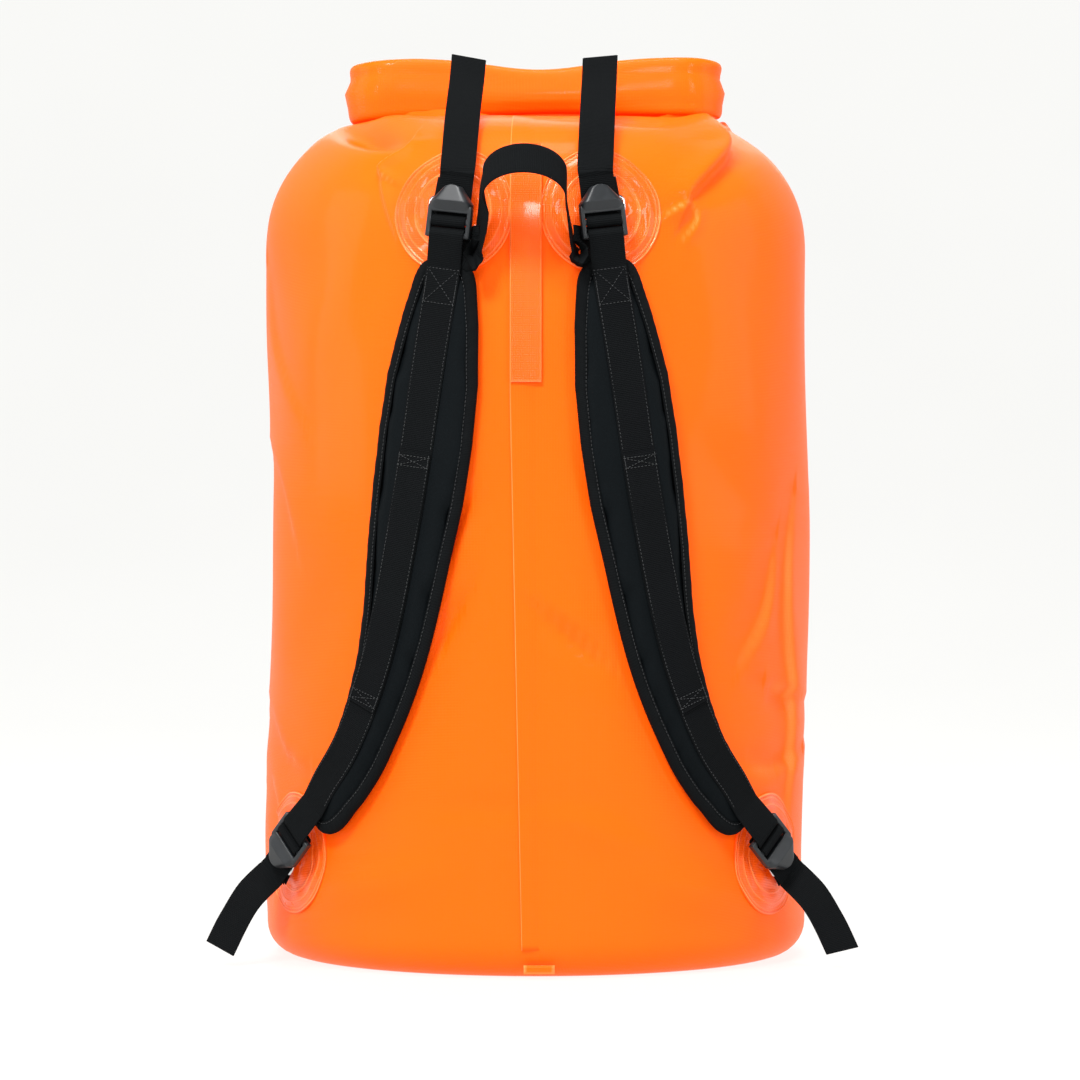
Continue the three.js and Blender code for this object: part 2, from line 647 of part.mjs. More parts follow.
// The webbing sewn down the pad, looped round the fixed bar of a lock at each end.
function padWebbing(side, curve, upperLock, lowerLock) {
  const out = PAD_LIFT + PAD_THICKNESS + CLEARANCE + WEBBING_THICKNESS / 2;
  const loopAt = (lock, from, to) => arc(0, 0, LOCK_LOOP_RADIUS, from, to, LOOP_STEPS)
    .map(([along, away]) => lock.localToWorld(new THREE.Vector3(0, along, away)));
  const acrossOf = (lock, sign) => new THREE.Vector3(sign, 0, 0).transformDirection(lock.matrixWorld);
  const top = loopAt(upperLock, (-3 * Math.PI) / 4, Math.PI / 2);
  const bottom = loopAt(lowerLock, Math.PI / 2, (-3 * Math.PI) / 4);
  const points = [...top];
  const axes = top.map(() => acrossOf(upperLock, 1));
  const first = PAD_TOP_GAP + PAD_WEBBING_TOP;
  const last = curve.getLength() - PAD_BOTTOM_GAP - PAD_WEBBING_BOTTOM;
  for (let i = 0; i <= PAD_WEBBING_STEPS; i++) {
    const distance = THREE.MathUtils.lerp(first, last, i / PAD_WEBBING_STEPS);
    const [outer, inner] = [side, -side].map((toOuter) => padPoint(curve, side, distance, toOuter, out));
    points.push(padPoint(curve, side, distance, 0, out));
    axes.push(outer.sub(inner).normalize());
  }
  points.push(...bottom);
  axes.push(...bottom.map(() => acrossOf(lowerLock, -1)));
  return band(points, axes, WEBBING - CLEARANCE);
}

function makeStrap(side, name, upperLock, lowerLock) {
  const curve = padCurve(side, upperLock, lowerLock);
  addPiece(`shoulder_pad_${name}`, shoulderPad(side, curve), 'padding');
  addPiece(`pad_binding_${name}`, padBinding(side, curve), 'webbing');
  addPiece(`pad_webbing_${name}`, padWebbing(side, curve, upperLock, lowerLock), 'webbing');
}

// ---------------------------------------------------------------- loose tails

// The first points of a tail, running straight on from the webbing beneath the thumb tab.
function tailLead(lock) {
  return [0, TAIL_LEAD].map((on) => {
    return lock.localToWorld(new THREE.Vector3(0, WRAP_END + TAIL_GAP + on, -TAIL_DEPTH));
  });
}

// A tail through its lead and its places. Its width turns evenly from the lock's to the last direction.
function tail(lead, places, lock, steps, lastAxis) {
  const curve = new THREE.CatmullRomCurve3([...lead, ...places], false, 'centripetal');
  const firstAxis = new THREE.Vector3(1, 0, 0).transformDirection(lock.matrixWorld);
  const points = curve.getSpacedPoints(steps);
  const axes = points.map((_, i) => firstAxis.clone().lerp(lastAxis ?? firstAxis, i / steps).normalize());
  return band(points, axes);
}

function upperTail(side, name, lock) {
  const lead = tailLead(lock);
  const start = lead[lead.length - 1];
  const top = BODY_TOP + UPPER_TAIL[UPPER_TAIL.length - 1][1];
  const places = UPPER_TAIL.map(([outShare, above]) => {
    const z = BODY_TOP + above;
    const share = (z - start.z) / (top - start.z);
    const x = THREE.MathUtils.lerp(Math.abs(start.x), UPPER_TAIL_END_X[name], share);
    return new THREE.Vector3(side * x, -THREE.MathUtils.lerp(-ROLL_FRONT, BODY_RADIUS, outShare), z);
  });
  return tail(lead, places, lock, UPPER_TAIL_STEPS, new THREE.Vector3(1, 0, 0));
}

function lowerTail(side, lock) {
  const bar = lock.position;
  const places = LOWER_TAIL.map(([acrossBag, out, up]) => {
    return new THREE.Vector3(bar.x + side * acrossBag, bar.y - out, bar.z + up);
  });
  return tail(tailLead(lock), places, lock, LOWER_TAIL_STEPS);
}

// ---------------------------------------------------------------- haul handle

function makeHandle() {
  const pivotY = -(BODY_RADIUS + HANDLE_PIVOT_OUT);
  const leg = HANDLE_LEG.map(([out, up], i) => {
    const x = THREE.MathUtils.lerp(HANDLE_ROOT_X, HANDLE_HALF_WIDTH, Math.min(i, 2) / 2);
    return new THREE.Vector3(x, pivotY - out, HANDLE_PIVOT_Z + up);
  });
  const springing = leg[leg.length - 1];
  const reach = new THREE.Vector3(0, -Math.cos(HANDLE_RISE), Math.sin(HANDLE_RISE));
  const halfCircle = arc(0, 0, HANDLE_HALF_WIDTH, 0, Math.PI, HANDLE_CROWN_STEPS);
  const crown = halfCircle.slice(1, -1).map(([x, far]) => {
    return new THREE.Vector3(x, springing.y, springing.z).addScaledVector(reach, far);
  });
  const mirrored = leg.map((p) => new THREE.Vector3(-p.x, p.y, p.z)).reverse();
  const points = [...leg, ...crown, ...mirrored];
  const flat = new THREE.Vector3(0, reach.z, -reach.y);
  const axes = points.map((point, i) => {
    const fromEnd = Math.min(i, points.length - 1 - i);
    const turned = Math.min(fromEnd / (leg.length - 1), 1);
    return new THREE.Vector3(0, 1, 0).lerp(flat, turned).normalize();
  });
  addPiece('haul_handle', band(points, axes), 'webbing');
  for (const [side, name] of [[-1, 'left'], [1, 'right']]) {
    const x = HANDLE_ROOT_X + WEBBING_THICKNESS + HANDLE_ROOT_GAP;
    const root = HANDLE_ROOT.map(([out, back, up]) => {
      const y = pivotY + HANDLE_ROOT_INSET + back;
      return new THREE.Vector3(side * (x + out), y, HANDLE_PIVOT_Z + up);
    });
    const across = root.map(() => new THREE.Vector3(0, 1, 0));
    addPiece(`haul_handle_root_${name}`, band(root, across, HANDLE_ROOT_WIDTH), 'webbing');
  }
}

// ---------------------------------------------------------------- closure buckle

function buckleSeat() {
  const route = rollRoute();
  const [endX, endY] = route[route.length - 1];
  return { endX, endY, y: endY + BUCKLE_SET_BACK, z: BODY_TOP + ROLL_LIFT + ROLL_HEIGHT / 2 };
}

// A buckle half's outer block with its strap slot, and thinned round the end bar.
function buckleHalf(sign, inner, seatPlace) {
  const { y, z } = seatPlace;
  const half = BUCKLE_THICKNESS / 2;
  const tall = BUCKLE_WIDTH / 2;
  const span = (a, b) => [Math.min(sign * a, sign * b), Math.max(sign * a, sign * b)];
  const block = box(...span(inner, BUCKLE_HALF_LENGTH), y - half, y + half, z - tall, z + tall);
  const slot = span(BUCKLE_HALF_LENGTH - BUCKLE_BAR - BUCKLE_SLOT, BUCKLE_HALF_LENGTH - BUCKLE_BAR);
  const inside = tall - BUCKLE_WALL;
  const thin = span(BUCKLE_HALF_LENGTH - BUCKLE_BAR - BUCKLE_SLOT, BUCKLE_HALF_LENGTH + 1);
  return cut(block, [
    box(...slot, y - half - 1, y + half + 1, z - inside, z + inside),
    box(...thin, y - half - 1, y - half + BUCKLE_FACE, z - inside, z + inside),
    box(...thin, y + half - BUCKLE_FACE, y + half + 1, z - inside, z + inside),
  ]);
}

function makeBuckle() {
  const place = buckleSeat();
  const { y, z } = place;
  const half = BUCKLE_THICKNESS / 2;
  const tall = BUCKLE_WIDTH / 2;
  const pocketEnd = BUCKLE_SPLIT - BUCKLE_POCKET;
  const pocket = box(pocketEnd, BUCKLE_SPLIT + 1, y - half + BUCKLE_WALL, y + half - BUCKLE_WALL,
    z - tall + BUCKLE_WALL, z + tall - BUCKLE_WALL);
  const windows = box(BUCKLE_SPLIT - PRONG_LENGTH - 1, BUCKLE_SPLIT - PRONG_LENGTH + PRONG_HEAD_LENGTH + 1,
    y - half + BUCKLE_WALL, y + half - BUCKLE_WALL, z - tall - 1, z + tall + 1);
  addPiece('closure_buckle_socket', cut(buckleHalf(-1, -BUCKLE_SPLIT, place), [pocket, windows]), 'plastic');
  const plug = toManifold(buckleHalf(1, BUCKLE_SPLIT + CLEARANCE, place));
  const guide = box(BUCKLE_SPLIT - PRONG_LENGTH, BUCKLE_SPLIT + 1, y - PRONG_DEPTH / 2, y + PRONG_DEPTH / 2,
    z - GUIDE_WIDTH / 2, z + GUIDE_WIDTH / 2);
  addPiece('closure_buckle_plug', fromManifold(plug.add(toManifold(guide))), 'plastic');
  for (const [sign, name] of [[-1, 'lower'], [1, 'upper']]) {
    const outline = new THREE.Shape([[0, PRONG_OFFSET], [0, PRONG_OFFSET + PRONG_WIDTH],
      [PRONG_HEAD_LENGTH - PRONG_LENGTH, PRONG_OFFSET + PRONG_WIDTH],
      [PRONG_HEAD_LENGTH - PRONG_LENGTH, PRONG_OFFSET + PRONG_WIDTH + PRONG_HEAD],
      [-PRONG_LENGTH, PRONG_OFFSET + PRONG_WIDTH], [-PRONG_LENGTH, PRONG_OFFSET]]
      .map(([px, pz]) => new THREE.Vector2(px, sign * pz)));
    const prong = new THREE.ExtrudeGeometry(outline, { depth: PRONG_DEPTH, bevelEnabled: false });
    prong.rotateX(Math.PI / 2).translate(BUCKLE_SPLIT, y + PRONG_DEPTH / 2, z);
    addPiece(`buckle_prong_${name}`, prong, 'plastic');
  }
}

// The short webbing from each end of the roll, looped round the buckle's end bar.
function makeEndTabs() {
  const { endX, endY, y, z } = buckleSeat();
  const barX = BUCKLE_HALF_LENGTH - BUCKLE_BAR / 2;
  const barHalfDepth = BUCKLE_THICKNESS / 2 - BUCKLE_FACE;
  const loopRadius = Math.hypot(BUCKLE_BAR / 2, barHalfDepth) + CLEARANCE + WEBBING_THICKNESS / 2;
  for (const [side, name] of [[-1, 'left'], [1, 'right']]) {
    const start = [endX + Math.cos(ROLL_TURN), endY + Math.sin(ROLL_TURN)];
    const loop = arc(barX, y, loopRadius, -Math.PI / 2, (-3 * Math.PI) / 2, END_TAB_STEPS);
    const route = [start, ...loop, [barX + END_TAB_RETURN, y + loopRadius]];
    const points = route.map(([px, py]) => new THREE.Vector3(side * px, py, z));
    const upright = points.map(() => new THREE.Vector3(0, 0, 1));
    addPiece(`roll_end_tab_${name}`, band(points, upright), 'webbing');
  }
}

// ---------------------------------------------------------------- assembly

makeBody();
makeSeamStrip();
makeRoll();
makeBuckle();
makeEndTabs();
makeHandle();
for (const [side, name] of [[-1, 'left'], [1, 'right']]) {
  addPiece(`upper_patch_${name}`, patch(side * Math.asin(UPPER_X / BODY_RADIUS), UPPER_RING_Z), 'tarpaulin');
  addPiece(`lower_patch_${name}`, patch(side * LOWER_AZIMUTH, LOWER_RING_Z), 'tarpaulin');
  const upper = upperSeats(side);
  const lower = lowerSeats(side);
  addHardware('upper', name, upper.ring, upper.lock);
  addHardware('lower', name, lower.ring, lower.lock);
  makeStrap(side, name, upper.lock, lower.lock);
  addPiece(`upper_tail_webbing_${name}`, upperTail(side, name, upper.lock), 'webbing');
  addPiece(`lower_tail_webbing_${name}`, lowerTail(side, lower.lock), 'webbing');
}

export default bag;
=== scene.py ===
"""Roll-top dry bag rucksack: a welded tarpaulin bag, its rolled closure and its shoulder harness.

Metres, +Z up, origin at the centre of the flat base, harness side facing -Y.
Azimuth is measured round the bag from the harness side towards +X.
"""

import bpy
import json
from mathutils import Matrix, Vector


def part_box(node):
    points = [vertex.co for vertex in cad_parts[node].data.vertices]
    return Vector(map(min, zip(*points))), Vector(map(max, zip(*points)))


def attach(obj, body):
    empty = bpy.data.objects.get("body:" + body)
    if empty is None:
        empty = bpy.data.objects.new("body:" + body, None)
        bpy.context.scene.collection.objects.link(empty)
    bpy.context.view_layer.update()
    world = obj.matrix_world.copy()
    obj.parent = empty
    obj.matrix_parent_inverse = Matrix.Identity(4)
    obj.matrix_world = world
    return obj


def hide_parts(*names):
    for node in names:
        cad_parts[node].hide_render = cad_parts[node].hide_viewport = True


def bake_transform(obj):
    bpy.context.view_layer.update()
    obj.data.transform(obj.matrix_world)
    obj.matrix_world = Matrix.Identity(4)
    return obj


bl_info = {
    "name": "Dry Bag Rucksack",
    "version": (1, 0, 0),
    "blender": (4, 5, 0),
    "location": "3D View > Sidebar > Dry Bag",
    "description": "Builds a roll-top dry bag with its padded shoulder harness",
    "category": "Add Mesh",
}

import json
import math

import bmesh
import bpy
import numpy as np
from bpy.props import FloatProperty, FloatVectorProperty, IntProperty, PointerProperty
from mathutils import Matrix, Vector
from mathutils.geometry import tessellate_polygon

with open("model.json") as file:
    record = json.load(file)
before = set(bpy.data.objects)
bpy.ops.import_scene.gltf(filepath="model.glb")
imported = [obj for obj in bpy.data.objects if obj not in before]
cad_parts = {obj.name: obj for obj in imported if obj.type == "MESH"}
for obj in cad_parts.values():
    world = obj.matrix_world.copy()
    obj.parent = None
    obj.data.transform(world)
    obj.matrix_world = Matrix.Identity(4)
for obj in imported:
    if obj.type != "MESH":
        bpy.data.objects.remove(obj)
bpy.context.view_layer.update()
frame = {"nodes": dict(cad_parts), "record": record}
JOINTS = {joint["name"]: joint for joint in frame["record"]["behaviour"]["joints"]}
SIDES = ((-1, "left"), (1, "right"))
MM = 0.001

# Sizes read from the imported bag
BODY_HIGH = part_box("body_tube")[1]
ROLL_LOW, ROLL_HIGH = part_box("roll_top")
BASE_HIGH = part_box("base_panel")[1]
STRIP_LOW, STRIP_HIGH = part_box("back_seam_strip")
RADIUS = BODY_HIGH[0]
BODY_TOP = BODY_HIGH[2]
BASE_RADIUS = BASE_HIGH[0]
BASE_CORNER = RADIUS - BASE_RADIUS

# Shape of the shoulder, a little fuller than on the solid bag
SHOULDER_START = 0.505
TOP_HALF_WIDTH = 0.142
TOP_FRONT_DEPTH = 0.070
TOP_BACK_DEPTH = 0.108
WIDTH_BEND = 2.5
DEPTH_BEND = 3.5
DEPTH_FULLNESS = 0.36
ROLL_THICKNESS = 0.022
MOUTH_HALF_LENGTH = 0.125

# Fineness of the body's mesh, closer together on the harness side
BODY_COLUMNS = 600
FRONT_CROWDING = 0.5
WALL_ROWS = 76
SHOULDER_ROWS = 64

# Harness
WEBBING = 0.025
WEBBING_THICKNESS = 0.0013
PATCH_RADIUS = 0.043
LOCK_LIFT = 0.0146
TAIL_DEPTH = 0.0045
PAD_ROUTE = ((0.0, 0.0), (0.055, 0.093), (0.123, 0.202), (0.274, 0.464), (0.447, 0.69), (0.648, 0.838),
             (0.831, 0.92), (0.909, 0.959), (1.0, 1.0))
UPPER_X = 0.0515
UPPER_LEAN = math.radians(7)
LOWER_AZIMUTH = math.radians(59)
LOWER_LEAN = math.radians(135)
PAD_OUTER = (19, 26, 31, 32, 31, 28, 23, 19, 16, 15, 12)
PAD_INNER = (19, 28, 34, 36, 36, 34, 33, 32, 31, 31, 27)
PAD_TOP_GAP = 0.017
PAD_BOTTOM_GAP = 0.011
PAD_LOW = 0.0033
PAD_HIGH = 0.0122
BINDING_REACH = 0.0075
DOUBLED_RUN = (0.150, 0.330)
SEAM_RUNS = ((0.032, 0.149), (0.152, 0.329))
TOP_TACK = (0.0235, 0.047)
DOUBLED_TACKS = ((0.153, 0.160), (0.320, 0.327))
UPPER_TAIL_END_X = {"left": 0.0435, "right": 0.049}
UPPER_TAIL = ((0.95, -0.0335), (0.84, -0.0135), (0.68, 0.0065), (0.55, 0.0210), (0.46, 0.0375))
LOWER_TAIL = ((0.0355, -0.0183, -0.047), (0.0465, -0.0143, -0.065), (0.0555, -0.0083, -0.084))

# Viewpoint
CAMERA_DISTANCE = 2.8
CAMERA_HEIGHT = 0.301
CAMERA_AZIMUTH = math.radians(1.9)
CAMERA_LENS = 126.8
AIM_RIGHT = 0.0026


# ------------------------------------------------------------------ settings

def length(name, default, note):
    return FloatProperty(name=name, description=note, default=default, unit="LENGTH")


def tint(name, default, note):
    return FloatVectorProperty(name=name, description=note, default=default, subtype="COLOR")


class DRYBAG_PG_sizes(bpy.types.PropertyGroup):
    scrim_pitch: length("Scrim Pitch", 0.0021, "Spacing of the woven scrim under the coating")
    fold_depth: length("Fold Depth", 0.0095, "Height of the gathered folds below the roll")
    slack_height: length("Slack Height", 0.0038, "Height of the slack swellings round the walls")
    rib_pitch: length("Rib Pitch", 0.00125, "Spacing of the ribs across the webbing")
    rib_height: length("Rib Height", 0.00022, "Height of a rib from its hollow to its crest")
    stitch_pitch: length("Stitch Pitch", 0.0034, "Distance from one stitch to the next")
    stitch_length: length("Stitch Length", 0.0026, "Length of thread showing at each stitch")
    thread_radius: length("Thread Radius", 0.0003, "Radius of the sewing thread")
    roll_turns: FloatProperty(name="Roll Turns", description="How often the mouth is rolled", default=3.0)
    cloth_frames: IntProperty(name="Cloth Frames", description="Length of the pads' cloth simulation",
                              default=20)


class DRYBAG_PG_colours(bpy.types.PropertyGroup):
    tarpaulin: tint("Tarpaulin", (1.0, 0.124, 0.002), "Coated fabric")
    # glow is a painted glow: a constant emission on the tarpaulin and the welded patches that keeps their
    # shaded parts bright red, standing for the dye's fluorescence
    glow: tint("Painted Glow", (1.0, 0.035, 0.0), "Light given back by the bright dye")
    crease: tint("Crease", (1.0, 0.40, 0.12), "Coating stretched pale along a crease")
    webbing: tint("Webbing", (0.0023, 0.0027, 0.003), "Ribbed strap webbing")
    padding: tint("Padding", (0.0028, 0.0040, 0.0048), "Cloth over the shoulder pads")
    plastic: tint("Plastic", (0.0085, 0.0105, 0.0125), "Moulded locks and buckle")
    steel: tint("Steel", (0.78, 0.78, 0.80), "Wire rings")


def sizes():
    return bpy.context.scene.drybag_sizes


def colours():
    return bpy.context.scene.drybag_colours


# ------------------------------------------------------------------ shader expressions

class Value:
    """A node's output, on which Python's own operators add Math nodes."""

    def __init__(self, shader, socket):
        self.shader = shader
        self.socket = socket

    def math(self, operation, *operands):
        return self.shader.node("ShaderNodeMath", {"operation": operation}, dict(enumerate(operands)))

    def __add__(self, other):
        return self.math("ADD", self, other)

    def __sub__(self, other):
        return self.math("SUBTRACT", self, other)

    def __rsub__(self, other):
        return self.math("SUBTRACT", other, self)

    def __mul__(self, other):
        return self.math("MULTIPLY", self, other)

    __radd__ = __add__
    __rmul__ = __mul__

    def sine(self):
        return self.math("SINE", self)

    def clamped(self):
        return self.shader.node("ShaderNodeClamp", {}, {0: self})


class Shader:
    """One material, whose principled surface is fed by expressions."""

    def __init__(self, name, **constants):
        self.material = bpy.data.materials.new(name)
        self.material.use_nodes = True
        self.tree = self.material.node_tree
        self.surface = self.tree.nodes["Principled BSDF"]
        for key, value in constants.items():
            self.surface.inputs[key.replace("_", " ").title().replace("Ior", "IOR")].default_value = value

    def node(self, kind, settings, inputs, output=0):
        made = self.tree.nodes.new(kind)
        for key, value in settings.items():
            setattr(made, key, value)
        for key, value in inputs.items():
            if isinstance(value, Value):
                self.tree.links.new(value.socket, made.inputs[key])
            else:
                made.inputs[key].default_value = value
        return Value(self, made.outputs[output])

    def place(self, scale=(1, 1, 1)):
        coordinates = self.node("ShaderNodeTexCoord", {}, {}, "Object")
        return self.node("ShaderNodeMapping", {}, {"Vector": coordinates, "Scale": scale})

    def noise(self, scale, detail=3.0, where=None):
        inputs = {"Scale": scale, "Detail": detail}
        inputs["Vector"] = where or self.place()
        return self.node("ShaderNodeTexNoise", {}, inputs, "Fac")

    def attribute(self, name):
        return self.node("ShaderNodeAttribute", {"attribute_name": name}, {}, "Fac")

    def cloth_axes(self):
        """Distances in metres along and across the cloth, from the piece's own UV map."""
        where = self.node("ShaderNodeUVMap", {"uv_map": "cloth"}, {}, "UV")
        return [self.node("ShaderNodeSeparateXYZ", {}, {0: where}, axis) for axis in (0, 1)]

    def mix(self, factor, first, second):
        inputs = {0: factor, 6: self.colour(first), 7: self.colour(second)}
        return self.node("ShaderNodeMix", {"data_type": "RGBA"}, inputs, 2)

    def colour(self, value):
        return value if isinstance(value, Value) else (*value, 1.0)

    def feed(self, **inputs):
        for key, value in inputs.items():
            self.tree.links.new(value.socket, self.surface.inputs[key.replace("_", " ").title()])

    def bump(self, height, distance, strength=1.0):
        self.feed(normal=self.node("ShaderNodeBump", {}, {
            "Height": height, "Distance": distance, "Strength": strength}, "Normal"))


MATERIALS = {}


def make_tarpaulin():
    tone = Vector(colours().tarpaulin)
    # The emission is a painted glow that keeps the shaded fabric bright red
    shader = Shader("tarpaulin", coat_weight=0.07, coat_roughness=0.12, specular_ior_level=0.08,
                    emission_color=(*colours().glow, 1.0), emission_strength=0.34)
    across, along = shader.cloth_axes()
    pitch = 2 * math.pi / sizes().scrim_pitch
    weave = ((across + along) * pitch).sine() * ((across - along) * pitch).sine()
    cloud = shader.noise(4.0, 2.0)
    grain = shader.noise(900.0, 2.0)
    crease = shader.attribute("crease").clamped()
    shade = shader.mix(cloud, tone * 0.93, (1.0, tone[1] * 1.14, tone[2] * 1.5))
    woven = shader.mix((weave * 0.5 + 0.5) * 0.10, shade, (1.0, tone[1] * 1.5, tone[2] * 4))
    pale = shader.mix(crease * 0.75, woven, tuple(colours().crease))
    shader.feed(base_color=pale, roughness=cloud * 0.14 + 0.33)
    shader.bump(weave * 0.5 + grain * 0.12, 0.00016, 1.0)
    return shader.material


def make_weld():
    """Coated fabric where the welding press has printed its own finer mesh."""
    tone = Vector(colours().tarpaulin)
    # The emission is a painted glow that keeps the shaded patches bright red
    shader = Shader("welded_tarpaulin", coat_weight=0.4, coat_roughness=0.1, specular_ior_level=0.2,
                    emission_color=(*colours().glow, 1.0), emission_strength=0.30)
    across, along = shader.cloth_axes()
    pitch = 2 * math.pi / (sizes().scrim_pitch * 1.15)
    weave = ((across + along) * pitch).sine() * ((across - along) * pitch).sine()
    cloud = shader.noise(14.0, 3.0)
    shade = shader.mix(cloud, tone * 0.85, (1.0, tone[1] * 1.1, tone[2] * 2))
    rim = shader.attribute("crease").clamped()
    shader.feed(base_color=shader.mix(rim * 0.7, shade, tuple(colours().crease)),
                roughness=cloud * 0.14 + 0.22)
    shader.bump(weave * 0.6 + cloud * 0.5, 0.00025, 1.0)
    return shader.material


def make_webbing(name="webbing", tone=None, fibre=2600.0):
    tone = Vector(tone or colours().webbing)
    shader = Shader(name, specular_ior_level=0.06)
    across, along = shader.cloth_axes()
    pitch = 2 * math.pi / sizes().rib_pitch
    rib = (along * pitch).sine() * 0.5 + 0.5
    yarn = (across * (2 * math.pi / 0.0011)).sine() * 0.5 + 0.5
    fuzz = shader.noise(fibre, 2.0)
    worn = shader.noise(45.0, 4.0)
    light = tone * 2.6
    base = shader.mix(rib * 0.45 + fuzz * 0.25, tone, light)
    shader.feed(base_color=shader.mix(worn * 0.35, base, light), roughness=fuzz * 0.2 + 0.72)
    shader.bump(rib * 0.6 + yarn * 0.35 + fuzz * 0.5, 0.00018, 0.8)
    return shader.material


def make_padding():
    tone = Vector(colours().padding)
    shader = Shader("pad_cloth", specular_ior_level=0.05)
    where = shader.place()
    cells = {"Vector": where, "Scale": 1150.0}
    weave = shader.node("ShaderNodeTexVoronoi", {"feature": "F1"}, cells, "Distance")
    crumple = shader.noise(60.0, 4.0)
    fuzz = shader.noise(1500.0, 2.0)
    base = shader.mix(weave * 0.6, tone * 0.8, tone * 1.9)
    shader.feed(base_color=shader.mix(crumple * 0.4, base, tone * 1.6), roughness=crumple * 0.25 + 0.55)
    shader.bump(weave * 0.25 + crumple * 0.8 + fuzz * 0.2, 0.0003, 0.8)
    return shader.material


def make_plastic():
    tone = Vector(colours().plastic)
    shader = Shader("moulded_plastic", roughness=0.38, specular_ior_level=0.5)
    mottle = shader.noise(220.0, 3.0)
    pits = shader.noise(2200.0, 2.0)
    shader.feed(base_color=shader.mix(mottle, tone * 0.8, tone * 1.5), roughness=mottle * 0.16 + 0.34)
    shader.bump(pits, 0.00005, 0.6)
    return shader.material


def make_steel():
    shader = Shader("ring_steel", roughness=0.2, metallic=1.0)
    brushed = shader.noise(700.0, 3.0)
    tone = Vector(colours().steel)
    shader.feed(base_color=shader.mix(brushed, tone * 0.8, tone), roughness=brushed * 0.2 + 0.12)
    return shader.material


def make_thread():
    shader = Shader("thread", roughness=0.6, sheen_weight=0.1)
    twist = shader.noise(3000.0, 2.0)
    tone = Vector(colours().webbing)
    shader.feed(base_color=shader.mix(twist, tone * 2.5, tone * 6.0))
    return shader.material


MAKERS = {
    "tarpaulin": make_tarpaulin, "weld": make_weld, "webbing": make_webbing, "padding": make_padding,
    "binding": lambda: make_webbing("edge_binding", tuple(Vector(colours().webbing) * 1.15), 3400.0),
    "plastic": make_plastic, "steel": make_steel, "thread": make_thread,
}


def material(name):
    if name not in MATERIALS:
        MATERIALS[name] = MAKERS[name]()
    return MATERIALS[name]


# ------------------------------------------------------------------ mesh helpers

def new_piece(name, points, faces, look, smooth=True, attributes=None, uvs=None):
    """Makes a mesh object. attributes holds a value per point, and uvs a pair per point."""
    mesh = bpy.data.meshes.new(name)
    mesh.from_pydata([tuple(p) for p in points], [], faces)
    for key, values in (attributes or {}).items():
        mesh.attributes.new(key, "FLOAT", "POINT").data.foreach_set("value", np.array(values, np.float32))
    if uvs is not None:
        layer = mesh.uv_layers.new(name="cloth")
        corners = np.empty(len(mesh.loops), np.int32)
        mesh.loops.foreach_get("vertex_index", corners)
        layer.data.foreach_set("uv", np.array(uvs, np.float32)[corners].ravel())
    mesh.polygons.foreach_set("use_smooth", [smooth] * len(mesh.polygons))
    mesh.materials.append(material(look))
    piece = bpy.data.objects.new(name, mesh)
    bpy.context.collection.objects.link(piece)
    return piece


def face_outward(piece):
    """Turns a closed mesh's faces outwards."""
    shape = bmesh.new()
    shape.from_mesh(piece.data)
    bmesh.ops.recalc_face_normals(shape, faces=shape.faces)
    if shape.calc_volume(signed=True) < 0:
        bmesh.ops.reverse_faces(shape, faces=shape.faces)
    shape.to_mesh(piece.data)
    shape.free()
    return piece


def grid_faces(rows, columns, close_rows=False, close_columns=True):
    """Quads between rows of points. Columns run round each row."""
    faces = []
    for r in range(rows if close_rows else rows - 1):
        after = (r + 1) % rows
        for c in range(columns if close_columns else columns - 1):
            side = (c + 1) % columns
            faces.append((r * columns + c, r * columns + side, after * columns + side, after * columns + c))
    return faces


def loft(name, rings, look, closed=False, uvs=None, attributes=None):
    """A closed solid through equal rings. Unless the rings close on themselves, its ends are capped."""
    columns = len(rings[0])
    faces = grid_faces(len(rings), columns, close_rows=closed)
    if not closed:
        last = (len(rings) - 1) * columns
        faces.append(tuple(range(columns - 1, -1, -1)))
        faces.append(tuple(range(last, last + columns)))
    points = [p for ring in rings for p in ring]
    return face_outward(new_piece(name, points, faces, look, uvs=uvs, attributes=attributes))


def smooth_path(points, step):
    """Points a step apart along a smooth curve through the given ones."""
    points = [Vector(p) for p in points]
    ends = [points[0] * 2 - points[1], *points, points[-1] * 2 - points[-2]]
    dense = []
    for a, b, c, d in zip(ends, ends[1:], ends[2:], ends[3:]):
        for i in range(24):
            t = i / 24
            dense.append(0.5 * (2 * b + (c - a) * t + (2 * a - 5 * b + 4 * c - d) * t * t
                                + (3 * b - a - 3 * c + d) * t * t * t))
    dense.append(points[-1])
    return even_points(dense, step)


def even_points(points, step):
    """Points evenly spaced along a chain of straight lines, from its first point to its last."""
    travelled = [0.0]
    for a, b in zip(points, points[1:]):
        travelled.append(travelled[-1] + (b - a).length)
    count = max(int(round(travelled[-1] / step)), 1)
    targets = np.linspace(0, travelled[-1], count + 1)
    table = np.array([tuple(p) for p in points])
    return [Vector(p) for p in zip(*(np.interp(targets, travelled, column) for column in table.T))]


def hump(x, middle, width):
    """A smooth hump, one in its middle and nearly nothing at twice its width."""
    return math.exp(-((x - middle) / width) ** 2)


def tangents(points):
    """The direction of travel at every point."""
    result = []
    for i in range(len(points)):
        result.append((points[min(i + 1, len(points) - 1)] - points[max(i - 1, 0)]).normalized())
    return result


def apply_evaluated(piece):
    """Bakes a piece's modifiers into its mesh."""
    bpy.context.view_layer.update()
    graph = bpy.context.evaluated_depsgraph_get()
    mesh = bpy.data.meshes.new_from_object(piece.evaluated_get(graph))
    piece.modifiers.clear()
    piece.data = mesh
    return piece


def add_modifier(piece, kind, **settings):
    modifier = piece.modifiers.new(kind.title(), kind)
    for key, value in settings.items():
        setattr(modifier, key, value)
    return modifier


def finish_piece(piece, body, slot, *nodes):
    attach(piece, body)
    if nodes:
        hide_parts(*nodes)
    return piece


# ------------------------------------------------------------------ node trees for what repeats

